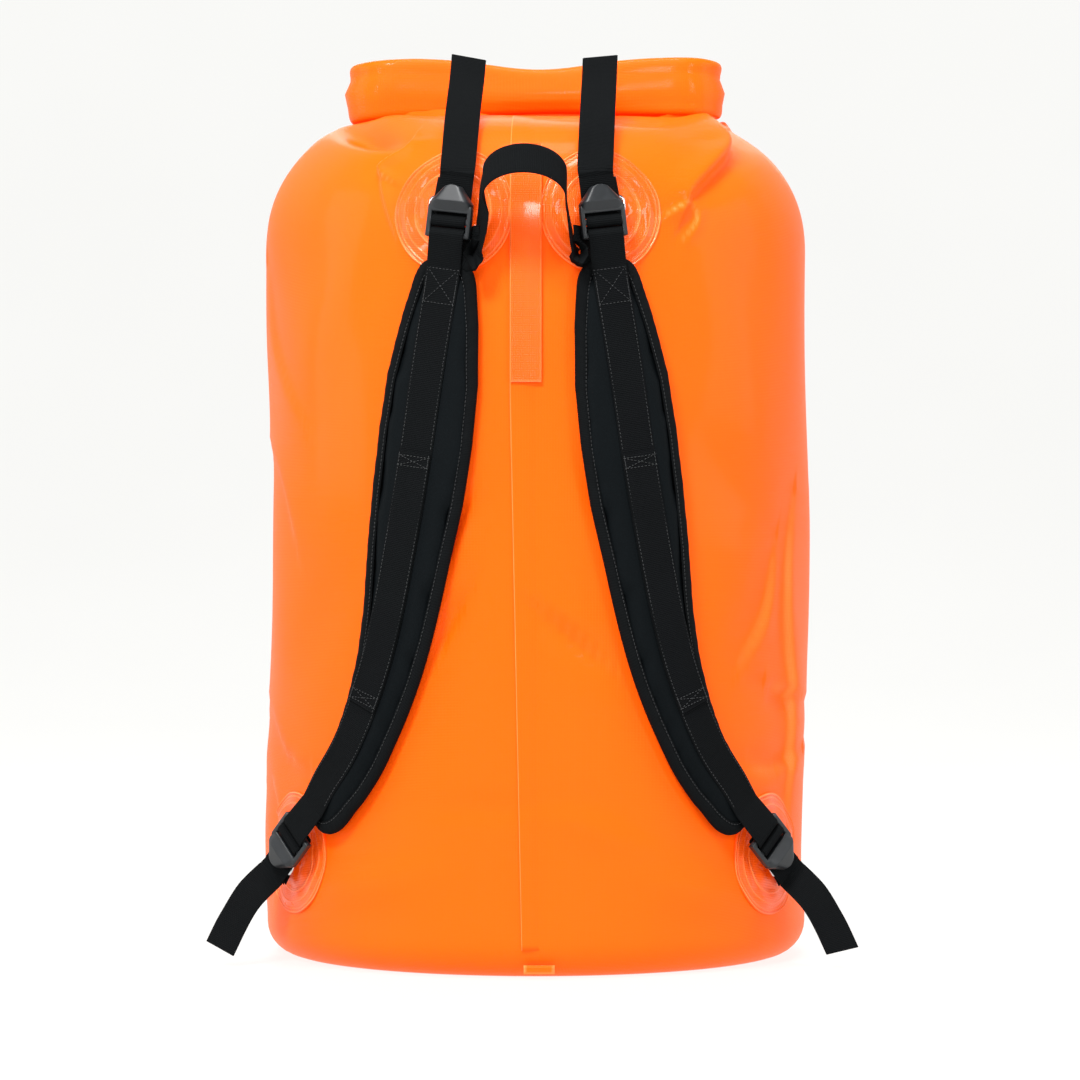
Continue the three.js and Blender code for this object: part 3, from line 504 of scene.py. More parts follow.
class Tree:
    """A geometry node tree with named inputs."""

    def __init__(self, name):
        self.group = bpy.data.node_groups.new(name, "GeometryNodeTree")
        self.socket("Geometry", "NodeSocketGeometry")
        self.group.interface.new_socket("Geometry", in_out="OUTPUT", socket_type="NodeSocketGeometry")
        self.start = self.group.nodes.new("NodeGroupInput")
        self.end = self.group.nodes.new("NodeGroupOutput")

    def socket(self, name, kind, default=None):
        made = self.group.interface.new_socket(name, in_out="INPUT", socket_type=kind)
        if default is not None:
            made.default_value = default

    def node(self, kind, settings=None, inputs=None):
        made = self.group.nodes.new(kind)
        for key, value in (settings or {}).items():
            setattr(made, key, value)
        for key, value in (inputs or {}).items():
            if isinstance(value, bpy.types.NodeSocket):
                self.group.links.new(value, made.inputs[key])
            else:
                made.inputs[key].default_value = value
        return made

    def math(self, operation, first, second=0.0):
        return self.node("ShaderNodeMath", {"operation": operation}, {0: first, 1: second}).outputs[0]

    def named(self, name):
        read = self.node("GeometryNodeInputNamedAttribute", {"data_type": "FLOAT"}, {"Name": name})
        return read.outputs[0]

    def finish(self, geometry):
        real = self.node("GeometryNodeRealizeInstances", None, {0: geometry}).outputs[0]
        look = self.start.outputs["Material"]
        painted = self.node("GeometryNodeSetMaterial", None, {"Geometry": real, "Material": look})
        self.group.links.new(painted.outputs[0], self.end.inputs[0])


def rib_tree():
    """Raises ribs across webbing that carries its own distance along as a named attribute."""
    if "webbing_ribs" in bpy.data.node_groups:
        return bpy.data.node_groups["webbing_ribs"]
    tree = Tree("webbing_ribs")
    tree.socket("Rib Pitch", "NodeSocketFloat", 0.001)
    tree.socket("Rib Height", "NodeSocketFloat", 0.0002)
    tree.socket("Material", "NodeSocketMaterial")
    along, flat = tree.named("along"), tree.named("flat")
    turns = tree.math("DIVIDE", along, tree.start.outputs["Rib Pitch"])
    wave = tree.math("SINE", tree.math("MULTIPLY", turns, 2 * math.pi))
    height = tree.math("MULTIPLY", tree.math("MULTIPLY", wave, flat), tree.start.outputs["Rib Height"])
    normal = tree.node("GeometryNodeInputNormal").outputs[0]
    scaled = tree.node("ShaderNodeVectorMath", {"operation": "SCALE"}, {0: normal, "Scale": height})
    push = scaled.outputs[0]
    moved = tree.node("GeometryNodeSetPosition", None, {"Geometry": tree.start.outputs[0], "Offset": push})
    tree.finish(moved.outputs[0])
    return tree.group


def stitch_tree():
    """Lays short threads along the lines of a mesh of edges."""
    if "stitch_rows" in bpy.data.node_groups:
        return bpy.data.node_groups["stitch_rows"]
    tree = Tree("stitch_rows")
    tree.socket("Pitch", "NodeSocketFloat", 0.003)
    tree.socket("Stitch Length", "NodeSocketFloat", 0.002)
    tree.socket("Thread Radius", "NodeSocketFloat", 0.0003)
    tree.socket("Material", "NodeSocketMaterial")
    line = tree.node("GeometryNodeMeshToCurve", None, {0: tree.start.outputs[0]}).outputs[0]
    spaced = tree.node("GeometryNodeResampleCurve", {"mode": "LENGTH"}, {
        "Curve": line, "Length": tree.start.outputs["Pitch"]}).outputs[0]
    radius = tree.start.outputs["Thread Radius"]
    ball = tree.node("GeometryNodeMeshIcoSphere", None, {"Radius": 1.0, "Subdivisions": 1}).outputs[0]
    half_length = tree.math("MULTIPLY", tree.start.outputs["Stitch Length"], 0.5)
    size = tree.node("ShaderNodeCombineXYZ", None, {0: radius, 1: radius, 2: half_length}).outputs[0]
    stitch = tree.node("GeometryNodeTransform", None, {0: ball, "Scale": size}).outputs[0]
    tangent = tree.node("GeometryNodeInputTangent").outputs[0]
    turn = tree.node("FunctionNodeAlignRotationToVector", {"axis": "Z"}, {"Vector": tangent}).outputs[0]
    rows = tree.node("GeometryNodeInstanceOnPoints", None, {
        "Points": spaced, "Instance": stitch, "Rotation": turn}).outputs[0]
    tree.finish(rows)
    return tree.group


def run_tree(piece, group, **inputs):
    """Applies a node tree to a piece and leaves a plain mesh."""
    modifier = piece.modifiers.new("Repeat", "NODES")
    modifier.node_group = group
    names = {item.name: item.identifier for item in group.interface.items_tree if item.in_out == "INPUT"}
    for key, value in inputs.items():
        modifier[names[key.replace("_", " ").title()]] = value
    return apply_evaluated(piece)


def stitch_rows(name, paths, body, slot, scale=1.0):
    """Sewing thread along paths, one piece for one body."""
    points, edges = [], []
    for path in paths:
        edges += [(len(points) + i, len(points) + i + 1) for i in range(len(path) - 1)]
        points += path
    mesh = bpy.data.meshes.new(name)
    mesh.from_pydata([tuple(p) for p in points], edges, [])
    piece = bpy.data.objects.new(name, mesh)
    bpy.context.collection.objects.link(piece)
    run_tree(piece, stitch_tree(), pitch=sizes().stitch_pitch * scale,
             stitch_length=sizes().stitch_length * scale, thread_radius=sizes().thread_radius,
             material=material("thread"))
    piece.data.polygons.foreach_set("use_smooth", [True] * len(piece.data.polygons))
    return finish_piece(piece, body, slot)


# ------------------------------------------------------------------ the bag's surface

def shoulder_share(z):
    """How far up the shoulder a height is, from none at its start to one at the neck."""
    return min(max((z - SHOULDER_START) / (BODY_TOP - SHOULDER_START), 0.0), 1.0)


def half_width(z):
    """Half the body's width from side to side at a height."""
    return TOP_HALF_WIDTH + (RADIUS - TOP_HALF_WIDTH) * (1 - shoulder_share(z) ** WIDTH_BEND)


def skin_point(azimuth, z):
    """A place on the smooth body, before folds and dents."""
    deep = TOP_FRONT_DEPTH if math.cos(azimuth) > 0 else TOP_BACK_DEPTH
    fullness = (1 - shoulder_share(z) ** DEPTH_BEND) ** DEPTH_FULLNESS
    depth = deep + (RADIUS - deep) * fullness
    return Vector((half_width(z) * math.sin(azimuth), -depth * math.cos(azimuth), z))


def skin_normal(azimuth, z):
    step = 0.002
    z = min(z, BODY_TOP - step)
    round_bag = skin_point(azimuth + step, z) - skin_point(azimuth - step, z)
    rise = skin_point(azimuth, z + step) - skin_point(azimuth, z - step)
    return round_bag.cross(rise).normalized()


def off_skin(azimuth, z, out):
    return skin_point(azimuth, z) + skin_normal(azimuth, z) * out


def azimuth_at(x, z):
    return math.asin(max(min(x / half_width(z), 1.0), -1.0))


def outward(azimuth):
    return Vector((math.sin(azimuth), -math.cos(azimuth), 0.0))


# Gathered folds and creases as (route in x and z, ridge, hollow, width, paleness).
# The ridge lies on the left of the route as it is walked, the hollow on the right.
FRONT_FOLDS = (
    (((0.095, 0.628), (0.118, 0.610), (0.129, 0.598), (0.1385, 0.586), (0.1395, 0.577), (0.1335, 0.567),
      (0.1245, 0.556), (0.1155, 0.545), (0.110, 0.533)), -0.8, -0.6, 0.014, 0.0),
    (((0.112, 0.536), (0.104, 0.532), (0.094, 0.525)), 0.25, 0.1, 0.005, 0.5),
    (((0.110, 0.535), (0.117, 0.529), (0.115, 0.520), (0.105, 0.508)), 0.22, 0.1, 0.005, 0.4),
    (((-0.080, 0.584), (-0.088, 0.573), (-0.105, 0.559), (-0.094, 0.549)), 0.4, 0.15, 0.005, 0.6),
    (((-0.105, 0.559), (-0.098, 0.530), (-0.090, 0.508)), 0.2, 0.1, 0.005, 0.3),
    (((0.008, 0.256), (0.030, 0.240), (0.060, 0.212)), 0.2, 0.25, 0.010, 0.05),
    (((-0.036, 0.330), (-0.046, 0.312), (-0.050, 0.296)), 0.15, 0.35, 0.010, 0.0),
    (((-0.038, 0.262), (-0.052, 0.240), (-0.060, 0.222)), 0.15, 0.35, 0.010, 0.0),
)
WALL_CREASES = (
    (((0.188, 0.335), (0.184, 0.260), (0.187, 0.180), (0.183, 0.095)), 0.2, 0.4, 0.009, 0.4),
    (((0.176, 0.300), (0.168, 0.250), (0.150, 0.215)), 0.2, 0.3, 0.012, 0.1),
    (((0.192, 0.150), (0.176, 0.138), (0.150, 0.140)), 0.2, 0.35, 0.010, 0.1),
    (((-0.190, 0.130), (-0.182, 0.090), (-0.186, 0.055)), 0.2, 0.4, 0.008, 0.5),
    (((-0.192, 0.180), (-0.178, 0.150), (-0.160, 0.140)), 0.2, 0.3, 0.010, 0.1),
    (((0.172, 0.200), (0.192, 0.190)), 0.15, 0.5, 0.012, 0.2),
    (((-0.196, 0.372), (-0.180, 0.340), (-0.168, 0.300)), 0.2, 0.3, 0.012, 0.1),
    (((-0.160, 0.385), (-0.186, 0.440), (-0.192, 0.500)), 0.15, 0.2, 0.014, 0.0),
)
BACK_FOLDS = (
    (((-0.150, 0.598), (-0.120, 0.572), (-0.070, 0.548)), 0.8, 0.8, 0.013, 0.1),
    (((0.150, 0.598), (0.120, 0.572), (0.078, 0.545)), -0.8, -0.8, 0.013, 0.1),
    (((-0.030, 0.602), (-0.040, 0.560), (-0.036, 0.520)), 0.5, 0.4, 0.012, 0.1),
    (((0.028, 0.602), (0.042, 0.565), (0.040, 0.512)), 0.5, 0.4, 0.012, 0.1),
)

# Soft dents and swellings as (x, z, half length, half width, slope of the length, height)
DENTS = (
    (-0.113, 0.588, 0.024, 0.0085, -0.32, -0.0140), (-0.100, 0.6000, 0.024, 0.0045, -0.1, 0.0040),
    (0.022, 0.6010, 0.040, 0.0060, -0.08, -0.0065),
    (0.085, 0.596, 0.018, 0.0045, 0.05, -0.0055), (-0.074, 0.577, 0.012, 0.004, 0.0, 0.0018),
    (-0.042, 0.314, 0.020, 0.008, 1.3, -0.0028), (-0.052, 0.238, 0.024, 0.009, 1.6, -0.0028),
    (0.049, 0.330, 0.030, 0.009, -2.5, -0.0026), (0.040, 0.232, 0.030, 0.008, -0.7, -0.0022),
    (-0.020, 0.118, 0.060, 0.007, 0.05, -0.0010), (0.050, 0.100, 0.050, 0.008, -0.4, 0.0012),
    (-0.135, 0.470, 0.070, 0.020, 2.5, 0.0025), (0.140, 0.450, 0.080, 0.022, -3.0, 0.0022),
    (-0.150, 0.240, 0.060, 0.018, 2.0, -0.0020), (0.150, 0.330, 0.050, 0.018, -1.5, -0.0022),
    (-0.120, 0.060, 0.050, 0.014, 0.2, 0.0022), (0.120, 0.055, 0.045, 0.014, -0.3, 0.0022),
)

# How high the neck's cloth stands in front of the roll, as (x, rise)
NECK_RISE = ((-0.145, -0.006), (-0.133, -0.002), (-0.113, 0.005), (-0.093, 0.007), (-0.073, 0.0085),
             (-0.042, 0.006), (-0.024, 0.001), (0.027, -0.004), (0.066, -0.0055), (0.081, 0.0),
             (0.0986, 0.0065), (0.120, 0.001), (0.138, -0.006))

# The neck's rings from the shoulder into the roll, as (share of the way, share of the rise)
NECK_STEPS = ((0.1, 0.55), (0.2, 0.95), (0.3, 1.0), (0.42, 0.8), (0.6, 0.1), (0.9, 0.0), (1.0, 0.6))


def fold_field(x, z, folds):
    """Height and paleness that folds add at arrays of places seen square on."""
    height = np.zeros_like(x)
    pale = np.zeros_like(x)
    for route, ridge, hollow, width, paleness in folds:
        line = smooth_path([(px, 0.0, pz) for px, pz in route], 0.005)
        near = np.full_like(x, 1e9)
        side = np.zeros_like(x)
        share = np.zeros_like(x)
        for i, (a, b) in enumerate(zip(line, line[1:])):
            dx, dz = b.x - a.x, b.z - a.z
            t = np.clip(((x - a.x) * dx + (z - a.z) * dz) / (dx * dx + dz * dz), 0, 1)
            ox, oz = x - a.x - dx * t, z - a.z - dz * t
            away = np.hypot(ox, oz)
            closer = away < near
            near = np.where(closer, away, near)
            side = np.where(closer, np.sign(dx * oz - dz * ox) * away, side)
            share = np.where(closer, (i + t) / (len(line) - 1), share)
        turned = side * (1 if ridge > 0 else -1)
        taper = np.sin(np.clip(share, 0.03, 0.97) * np.pi) ** 0.5
        step = 0.5 + 0.5 * np.tanh(turned / (width * 0.14))
        profile = step * abs(ridge) * np.exp(-(turned / width) ** 2)
        profile -= (1 - step) * abs(hollow) * np.exp(-(turned / (width * 1.3)) ** 2)
        height += profile * taper
        pale += paleness * np.exp(-(near / (width * 0.14)) ** 2) * taper
    return height, pale


def dent_field(x, z):
    """Height that soft dents and swellings add at arrays of places seen square on."""
    height = np.zeros_like(x)
    for dent_x, dent_z, long, wide, slope, depth in DENTS:
        run = 1 / math.hypot(1, slope)
        along = ((x - dent_x) + (z - dent_z) * slope) * run
        across = ((z - dent_z) - (x - dent_x) * slope) * run
        height += depth * np.exp(-(along / long) ** 2 - (across / wide) ** 2)
    return height


def press(azimuth, z):
    """Height and paleness of every fold, crease and slack spot at arrays of places on the bag."""
    share = np.clip((z - SHOULDER_START) / (BODY_TOP - SHOULDER_START), 0, 1)
    x = (TOP_HALF_WIDTH + (RADIUS - TOP_HALF_WIDTH) * (1 - share ** WIDTH_BEND)) * np.sin(azimuth)
    front = np.cos(azimuth) > -0.1
    fold, fold_pale = fold_field(x, z, FRONT_FOLDS)
    wall, wall_pale = fold_field(x, z, WALL_CREASES)
    back, back_pale = fold_field(x, z, BACK_FOLDS)
    height = np.where(front, fold + wall, back) * sizes().fold_depth
    height = height + np.where(front, dent_field(x, z), 0)
    slack = (np.sin(3 * azimuth + 9 * z) * 0.6 + np.sin(7 * azimuth - 16 * z + 1.0) * 0.35
             + np.sin(11 * azimuth + 25 * z + 2.0) * 0.15)
    loose = np.clip(np.abs(azimuth) / 1.1 - 0.35, 0, 1)
    corner_roll = 0.0018 * np.exp(-((z - 0.034) / 0.018) ** 2) * np.sin(5 * azimuth + 0.6)
    height = height + slack * sizes().slack_height * loose * np.clip(z / 0.05, 0, 1)
    height = height + corner_roll * loose
    calm = np.clip(z / 0.004, 0, 1) * np.clip((BODY_TOP - z) / 0.003, 0, 1)
    return height * calm, np.where(front, fold_pale + wall_pale, back_pale)


def body_ring_heights():
    """Heights of the rings, closer together over the shoulder."""
    wall = np.linspace(BASE_CORNER, SHOULDER_START, WALL_ROWS)[:-1]
    climb = np.linspace(0, 1, SHOULDER_ROWS)
    shoulder = SHOULDER_START + (BODY_TOP - SHOULDER_START) * np.sin(climb * math.pi / 2) ** 0.8
    return list(wall) + list(shoulder)


class DRYBAG_OT_body(bpy.types.Operator):
    """The bag's welded tube, from the base corner up to the neck that goes into the roll"""
    bl_idname = "drybag.body"
    bl_label = "Bag Body"

    def execute(self, context):
        even = np.linspace(-math.pi, math.pi, BODY_COLUMNS, endpoint=False)
        angles = even - FRONT_CROWDING * np.sin(even)
        corner = [(BASE_RADIUS - 0.003, 0.002)]
        for turn in np.linspace(0, math.pi / 2, 9)[:-1]:
            corner.append((BASE_RADIUS + BASE_CORNER * math.sin(turn), BASE_CORNER * (1 - math.cos(turn))))
        rings = [[Vector((r * math.sin(a), -r * math.cos(a), z)) for a in angles] for r, z in corner]
        up = [z for _, z in corner]
        for z in body_ring_heights():
            rings.append([skin_point(a, z) for a in angles])
            up.append(z)
        table = np.array([[tuple(p) for p in ring] for ring in rings])
        height, pale = press(np.broadcast_to(angles, table.shape[:2]), table[..., 2])
        table += self.normals(table) * height[..., None]
        neck = self.neck(angles)
        table = np.concatenate([table, neck])
        up += [BODY_TOP + 0.012 * (i + 1) for i in range(len(neck))]
        pale = np.concatenate([pale, np.zeros(neck.shape[:2])])
        uvs = [(a * RADIUS, z) for z in up for a in angles]
        piece = loft("bag_body", table.tolist(), "tarpaulin", uvs=uvs, attributes={"crease": pale.ravel()})
        finish_piece(piece, "root", "tarpaulin", "body_tube")
        return {"FINISHED"}

    def normals(self, table):
        round_bag = np.roll(table, -1, axis=1) - np.roll(table, 1, axis=1)
        rise = np.gradient(table, axis=0)
        cross = np.cross(round_bag, rise)
        return cross / np.maximum(np.linalg.norm(cross, axis=2, keepdims=True), 1e-9)

    def neck(self, angles):
        """The gathered neck: a lip that stands before the roll, then the flattened mouth inside it."""
        middle = ROLL_LOW[1] + ROLL_THICKNESS / 2
        places, rises = zip(*NECK_RISE)
        rings = []
        for share, lifted in NECK_STEPS:
            ring = []
            for a in angles:
                start = skin_point(a, BODY_TOP)
                end = Vector((MOUTH_HALF_LENGTH * math.sin(a), middle - 0.0025 * math.cos(a), BODY_TOP))
                point = start.lerp(end, share)
                rise = float(np.interp(point.x, places, rises))
                rise = rise if math.cos(a) > 0 else 0.004 * math.sin(9 * a)
                fine = 0.0008 * math.sin(23 * a) * math.sin(math.pi * share)
                ring.append((point.x, point.y, BODY_TOP + rise * lifted + fine))
            rings.append(ring)
        return np.array(rings)


class DRYBAG_OT_base(bpy.types.Operator):
    """The round base disc with its raised weld line"""
    bl_idname = "drybag.base"
    bl_label = "Base Panel"

    def execute(self, context):
        columns = 160
        rim = BASE_RADIUS
        profile = [(0.002, 0.0), (0.06, 0.0), (0.12, 0.0), (rim - 0.014, 0.0), (rim - 0.0125, 0.0007),
                   (rim - 0.002, 0.0007), (rim - 0.0006, 0.0), (rim, 0.0008), (rim - 0.001, 0.0016),
                   (0.12, 0.0014), (0.06, 0.0012), (0.002, 0.0012)]
        rings = [[Vector((r * math.cos(t), r * math.sin(t), z))
                  for t in np.linspace(0, 2 * math.pi, columns, endpoint=False)] for r, z in profile]
        uvs = [(p.x, p.y) for ring in rings for p in ring]
        crease = [0.6 if 0.158 < r < 0.1605 else 0.0 for r, _ in profile for _ in range(columns)]
        piece = loft("base_disc", rings, "tarpaulin", uvs=uvs, attributes={"crease": crease})
        finish_piece(piece, "root", "tarpaulin", "base_panel")
        return {"FINISHED"}


def front_sheet(name, low, high, rows, columns, edges, out, look, thickness=0.0008, sunk=0.0):
    """A thin welded sheet on the harness side. edges(z) gives its left and right x.

    With sunk, its right edge dives that far and vanishes into the fabric."""
    places, pale = [], []
    for i in range(rows):
        z = low + (high - low) * i / (rows - 1)
        left, right = edges(z)
        for j in range(columns):
            x = left + (right - left) * j / (columns - 1)
            places.append((azimuth_at(x, z), z))
            rim = j == 0 or (not sunk and (j == columns - 1 or i == 0))
            pale.append(0.9 if rim else 0.0)
    lifts = press(*np.array(places).T)[0]
    dive = [sunk * (j / (columns - 1)) ** 2 for _ in range(rows) for j in range(columns)]
    grid = [off_skin(a, z, out + lift - down) for (a, z), lift, down in zip(places, lifts, dive)]
    uvs = [(a * RADIUS, z) for a, z in places]
    piece = new_piece(name, grid, grid_faces(rows, columns, close_columns=False), look, uvs=uvs,
                      attributes={"crease": pale})
    add_modifier(piece, "SOLIDIFY", thickness=thickness, offset=1.0)
    return apply_evaluated(piece)


class DRYBAG_OT_seam(bpy.types.Operator):
    """The vertical lap seam, its cover strip and the small doubled edge at the base"""
    bl_idname = "drybag.seam"
    bl_label = "Back Seam"

    def execute(self, context):
        strip = front_sheet("seam_cover_strip", STRIP_LOW[2], STRIP_HIGH[2] - 0.030, 90, 25,
                            lambda z: (-0.011, 0.010), 0.0026, "weld", 0.0007)
        finish_piece(strip, "root", "tarpaulin", "back_seam_strip")
        lap = front_sheet("lap_seam", 0.020, 0.600, 150, 25,
                          lambda z: (-0.0115 + 0.0085 * max(0.0, 1 - z / 0.40), 0.011 - 0.002 * z), 0.00045,
                          "tarpaulin", 0.0009, 0.0022)
        finish_piece(lap, "root", "tarpaulin")
        tab = front_sheet("base_tab", 0.004, 0.010, 4, 9,
                          lambda z: (-0.002, 0.019), 0.0008, "tarpaulin", 0.001)
        finish_piece(tab, "root", "tarpaulin")
        return {"FINISHED"}


# Raised weld lines on a patch as (radius, height, paleness), and the spread of each
WELD_LINES = ((0.0425, 0.0009, 1.0), (0.0400, 0.0005, 0.55), (0.0350, 0.0005, 0.45), (0.0275, 0.0008, 0.9),
              (0.0262, 0.0004, 0.4))
WELD_SPREAD = 0.00055


def weld_profile(radius):
    """Height and paleness of a patch at a distance from its centre."""
    raised, glow = 0.0012 + 0.0005 * math.sin(radius * 420), 0.0
    for line, height, brightness in WELD_LINES:
        bump = hump(radius, line, WELD_SPREAD)
        raised += height * bump
        glow += bump * brightness
    return raised, glow


def patch_disc(name, azimuth, z, node):
    """A round welded patch with thin raised weld lines, closed by a hem that meets the fabric."""
    columns = 120
    radii = np.concatenate([[0.0006], np.linspace(0.002, PATCH_RADIUS, 96)])
    turns = np.linspace(0, 2 * math.pi, columns, endpoint=False)
    rings, uvs, pale = [], [], []
    for radius in radii:
        around = azimuth + radius * np.cos(turns) / RADIUS
        heights = z + radius * np.sin(turns)
        lifts = press(around, heights)[0]
        raised, glow = weld_profile(radius)
        ring = []
        for turn, a, high, lift in zip(turns, around, heights, lifts):
            wobble = 0.0004 * math.sin(5 * turn + radius * 300)
            wobble += 0.00025 * math.sin(9 * turn - radius * 180)
            ring.append(off_skin(a, high, lift + raised + wobble * min(radius / 0.01, 1)))
            uvs.append((a * RADIUS, high))
            pale.append(glow * (0.65 + 0.35 * math.sin(3 * turn + z * 40)))
        rings.append(ring)
    rings.append([off_skin(a, high, 0.0001 + lift) for a, high, lift in zip(around, heights, lifts)])
    uvs += uvs[-columns:]
    pale += [0.3] * columns
    piece = loft(name, rings, "weld", uvs=uvs, attributes={"crease": pale})
    return finish_piece(piece, "root", "tarpaulin", node)


class DRYBAG_OT_patches(bpy.types.Operator):
    """The four round patches that carry the harness rings"""
    bl_idname = "drybag.patches"
    bl_label = "Welded Patches"

    def execute(self, context):
        for side, name in SIDES:
            for level in ("upper", "lower"):
                low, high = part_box(f"{level}_patch_{name}")
                z = (low[2] + high[2]) / 2
                azimuth = ring_azimuth(level, side)
                patch_disc(f"{level}_round_patch_{name}", azimuth, z, f"{level}_patch_{name}")
        return {"FINISHED"}


# ------------------------------------------------------------------ rolled closure

def roll_route(step=0.004):
    """Plan-view centreline of the roll, from its left free end to its right one."""
    bend, turn = 0.025, math.radians(130)
    y = ROLL_LOW[1] + ROLL_THICKNESS / 2
    flat = ROLL_HIGH[0] - ROLL_THICKNESS / 2 - bend
    right = [Vector((flat + bend * math.sin(a), y + bend - bend * math.cos(a), 0))
             for a in np.linspace(0, turn, 14)]
    right.append(right[-1] + Vector((math.cos(turn), math.sin(turn), 0)) * 0.1295)
    left = [Vector((-p.x, p.y, 0)) for p in reversed(right)]
    return even_points(left + right, step)


def spiral_section(turns, half_thick, half_tall, strip):
    """Outline of a flattened spiral strip, from the outer end to the core and back."""
    steps = 44
    gap = strip * 1.5

    def at(turn, inset):
        angle = -math.pi / 2 - turn * 2 * math.pi
        shrink = min(turn * gap, half_thick - 0.0012) + inset
        c, s = math.cos(angle), math.sin(angle)
        return ((half_thick - shrink) * math.copysign(abs(c) ** 0.48, c),
                (half_tall - shrink * 1.2) * math.copysign(abs(s) ** 0.4, s))

    turns_at = np.linspace(0, turns, int(steps * turns) + 1)
    return [at(t, 0.0) for t in turns_at] + [at(t, strip) for t in turns_at][::-1]


class DRYBAG_OT_roll(bpy.types.Operator):
    """The mouth rolled over on itself, its ends bent round to the back"""
    bl_idname = "drybag.roll"
    bl_label = "Roll Top"
    ARM_START = 0.05
    CREST_RISE = 0.0038
    SAG = 0.0095
    MIDDLE_LIFT = 0.003
    END_DROPS = (0.004, 0.0055, 0.0035)
    RIDGE = 0.0025
    DENT = 0.0013
    PLEAT = 0.0022

    def execute(self, context):
        middle = (ROLL_LOW[2] + ROLL_HIGH[2]) / 2
        tall = (ROLL_HIGH[2] - ROLL_LOW[2]) / 2
        section = spiral_section(sizes().roll_turns, 0.0108, tall - 0.0005, 0.0021)
        route = roll_route()
        forward = tangents(route)
        total = len(route)
        rings, uvs, pale = [], [], []
        lengths = np.cumsum([0] + [math.dist(a, b) for a, b in zip(section, section[1:])])
        for i, (centre, along) in enumerate(zip(route, forward)):
            side = Vector((along.y, -along.x, 0))
            ring = []
            for k, (out, high) in enumerate(section):
                z, push = self.slump(centre, out, high, tall)
                point = centre + side * (out + push)
                ring.append(Vector((point.x, point.y, middle + z)))
                uvs.append((i * 0.004, lengths[k]))
                pale.append(0.9 if k in (0, 1) else 0.0)
            rings.append(ring)
        columns = len(section)
        faces = grid_faces(total, columns)
        caps = tessellate_polygon([[Vector((u, v, 0)) for u, v in section]])
        last = (total - 1) * columns
        faces += [tuple(t) for t in caps]
        faces += [tuple(last + c for c in reversed(t)) for t in caps]
        points = [p for ring in rings for p in ring]
        piece = face_outward(new_piece("rolled_mouth", points, faces, "tarpaulin", uvs=uvs,
                                       attributes={"crease": pale}))
        finish_piece(piece, "root", "tarpaulin", "roll_top", "mouth_stiffener")
        return {"FINISHED"}

    def slump(self, centre, out, high, tall):
        """How the soft roll sags between its ends and dents at its bends."""
        x = centre.x
        upper, lower = max(high / tall, 0.0), max(-high / tall, 0.0)
        if centre.y > ROLL_LOW[1] + self.ARM_START:
            return high * 0.97, 0.0006 * math.sin(90 * x + 3 * high / tall)
        left_top, left_bottom, right_top = self.END_DROPS
        left, right = max(0.0, (-x - 0.085) / 0.055), max(0.0, (x - 0.112) / 0.028)
        fall = -left_top * upper * left ** 1.4 - left_bottom * lower * left - right_top * upper * right ** 2
        sag = (self.CREST_RISE - self.SAG * hump(x, 0.004, 0.05)) * upper
        lift = self.MIDDLE_LIFT * hump(x, 0.015, 0.05) * lower
        ridge = self.RIDGE * hump(high, -0.003 - 0.004 * math.cos(x * 26), 0.006)
        dent = self.DENT * math.sin(34 * x + 1.0) * math.cos(2.2 * high / tall)
        bend = min(max((abs(x) - 0.105) / 0.02, 0), 1)
        dent -= self.PLEAT * bend * hump(high, 0.009, 0.006)
        return high + sag + fall + lift, (ridge + dent) * (1 if out > 0 else 0.2)


def softened_copy(node, name, width, look):
    """A merged copy of a moulded solid, with its edges rounded."""
    source = frame["nodes"][node]
    mesh = source.data.copy()
    mesh.name = name
    piece = bpy.data.objects.new(name, mesh)
    bpy.context.collection.objects.link(piece)
    shape = bmesh.new()
    shape.from_mesh(mesh)
    bmesh.ops.remove_doubles(shape, verts=shape.verts, dist=1e-6)
    bmesh.ops.dissolve_limit(shape, angle_limit=math.radians(1), verts=shape.verts, edges=shape.edges)
    shape.to_mesh(mesh)
    shape.free()
    mesh.materials.clear()
    mesh.materials.append(material(look))
    add_modifier(piece, "BEVEL", width=width, segments=3, limit_method="ANGLE",
                 angle_limit=math.radians(35))
    apply_evaluated(piece)
    piece.data.polygons.foreach_set("use_smooth", [False] * len(piece.data.polygons))
    return piece


class DRYBAG_OT_buckle(bpy.types.Operator):
    """The side-release buckle that joins the roll's ends behind the bag, and its webbing tabs"""
    bl_idname = "drybag.buckle"
    bl_label = "Closure Buckle"

    def execute(self, context):
        nodes = ("closure_buckle_socket", "closure_buckle_plug", "buckle_prong_upper", "buckle_prong_lower")
        for node in nodes:
            body = node if "prong" in node else "root"
            piece = softened_copy(node, f"{node}_moulding", 0.0006, "plastic")
            finish_piece(piece, body, "moulded_plastic", node)
        route = roll_route()
        low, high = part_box("roll_end_tab_right")
        bar = Vector((0.025, (low[1] + high[1]) / 2 + 0.001, 0))
        middle = Vector((0, 0, (low[2] + high[2]) / 2))
        for side, name in SIDES:
            end = route[-1]
            loop = [bar + Vector((math.cos(a), math.sin(a), 0)) * 0.0042
                    for a in np.linspace(-math.pi / 2, -1.5 * math.pi, 9)]
            line = [Vector((end.x - 0.0006, end.y + 0.0012, 0)), *loop, bar + Vector((0.006, 0.0042, 0))]
            line = [Vector((side * p.x, p.y, 0)) + middle for p in line]
            upright = [Vector((0, 0, 1))] * len(line)
            piece = strap_piece(f"roll_end_webbing_{name}", line, upright, "webbing")
            finish_piece(piece, "root", "webbing", f"roll_end_tab_{name}")
        return {"FINISHED"}


# ------------------------------------------------------------------ harness places

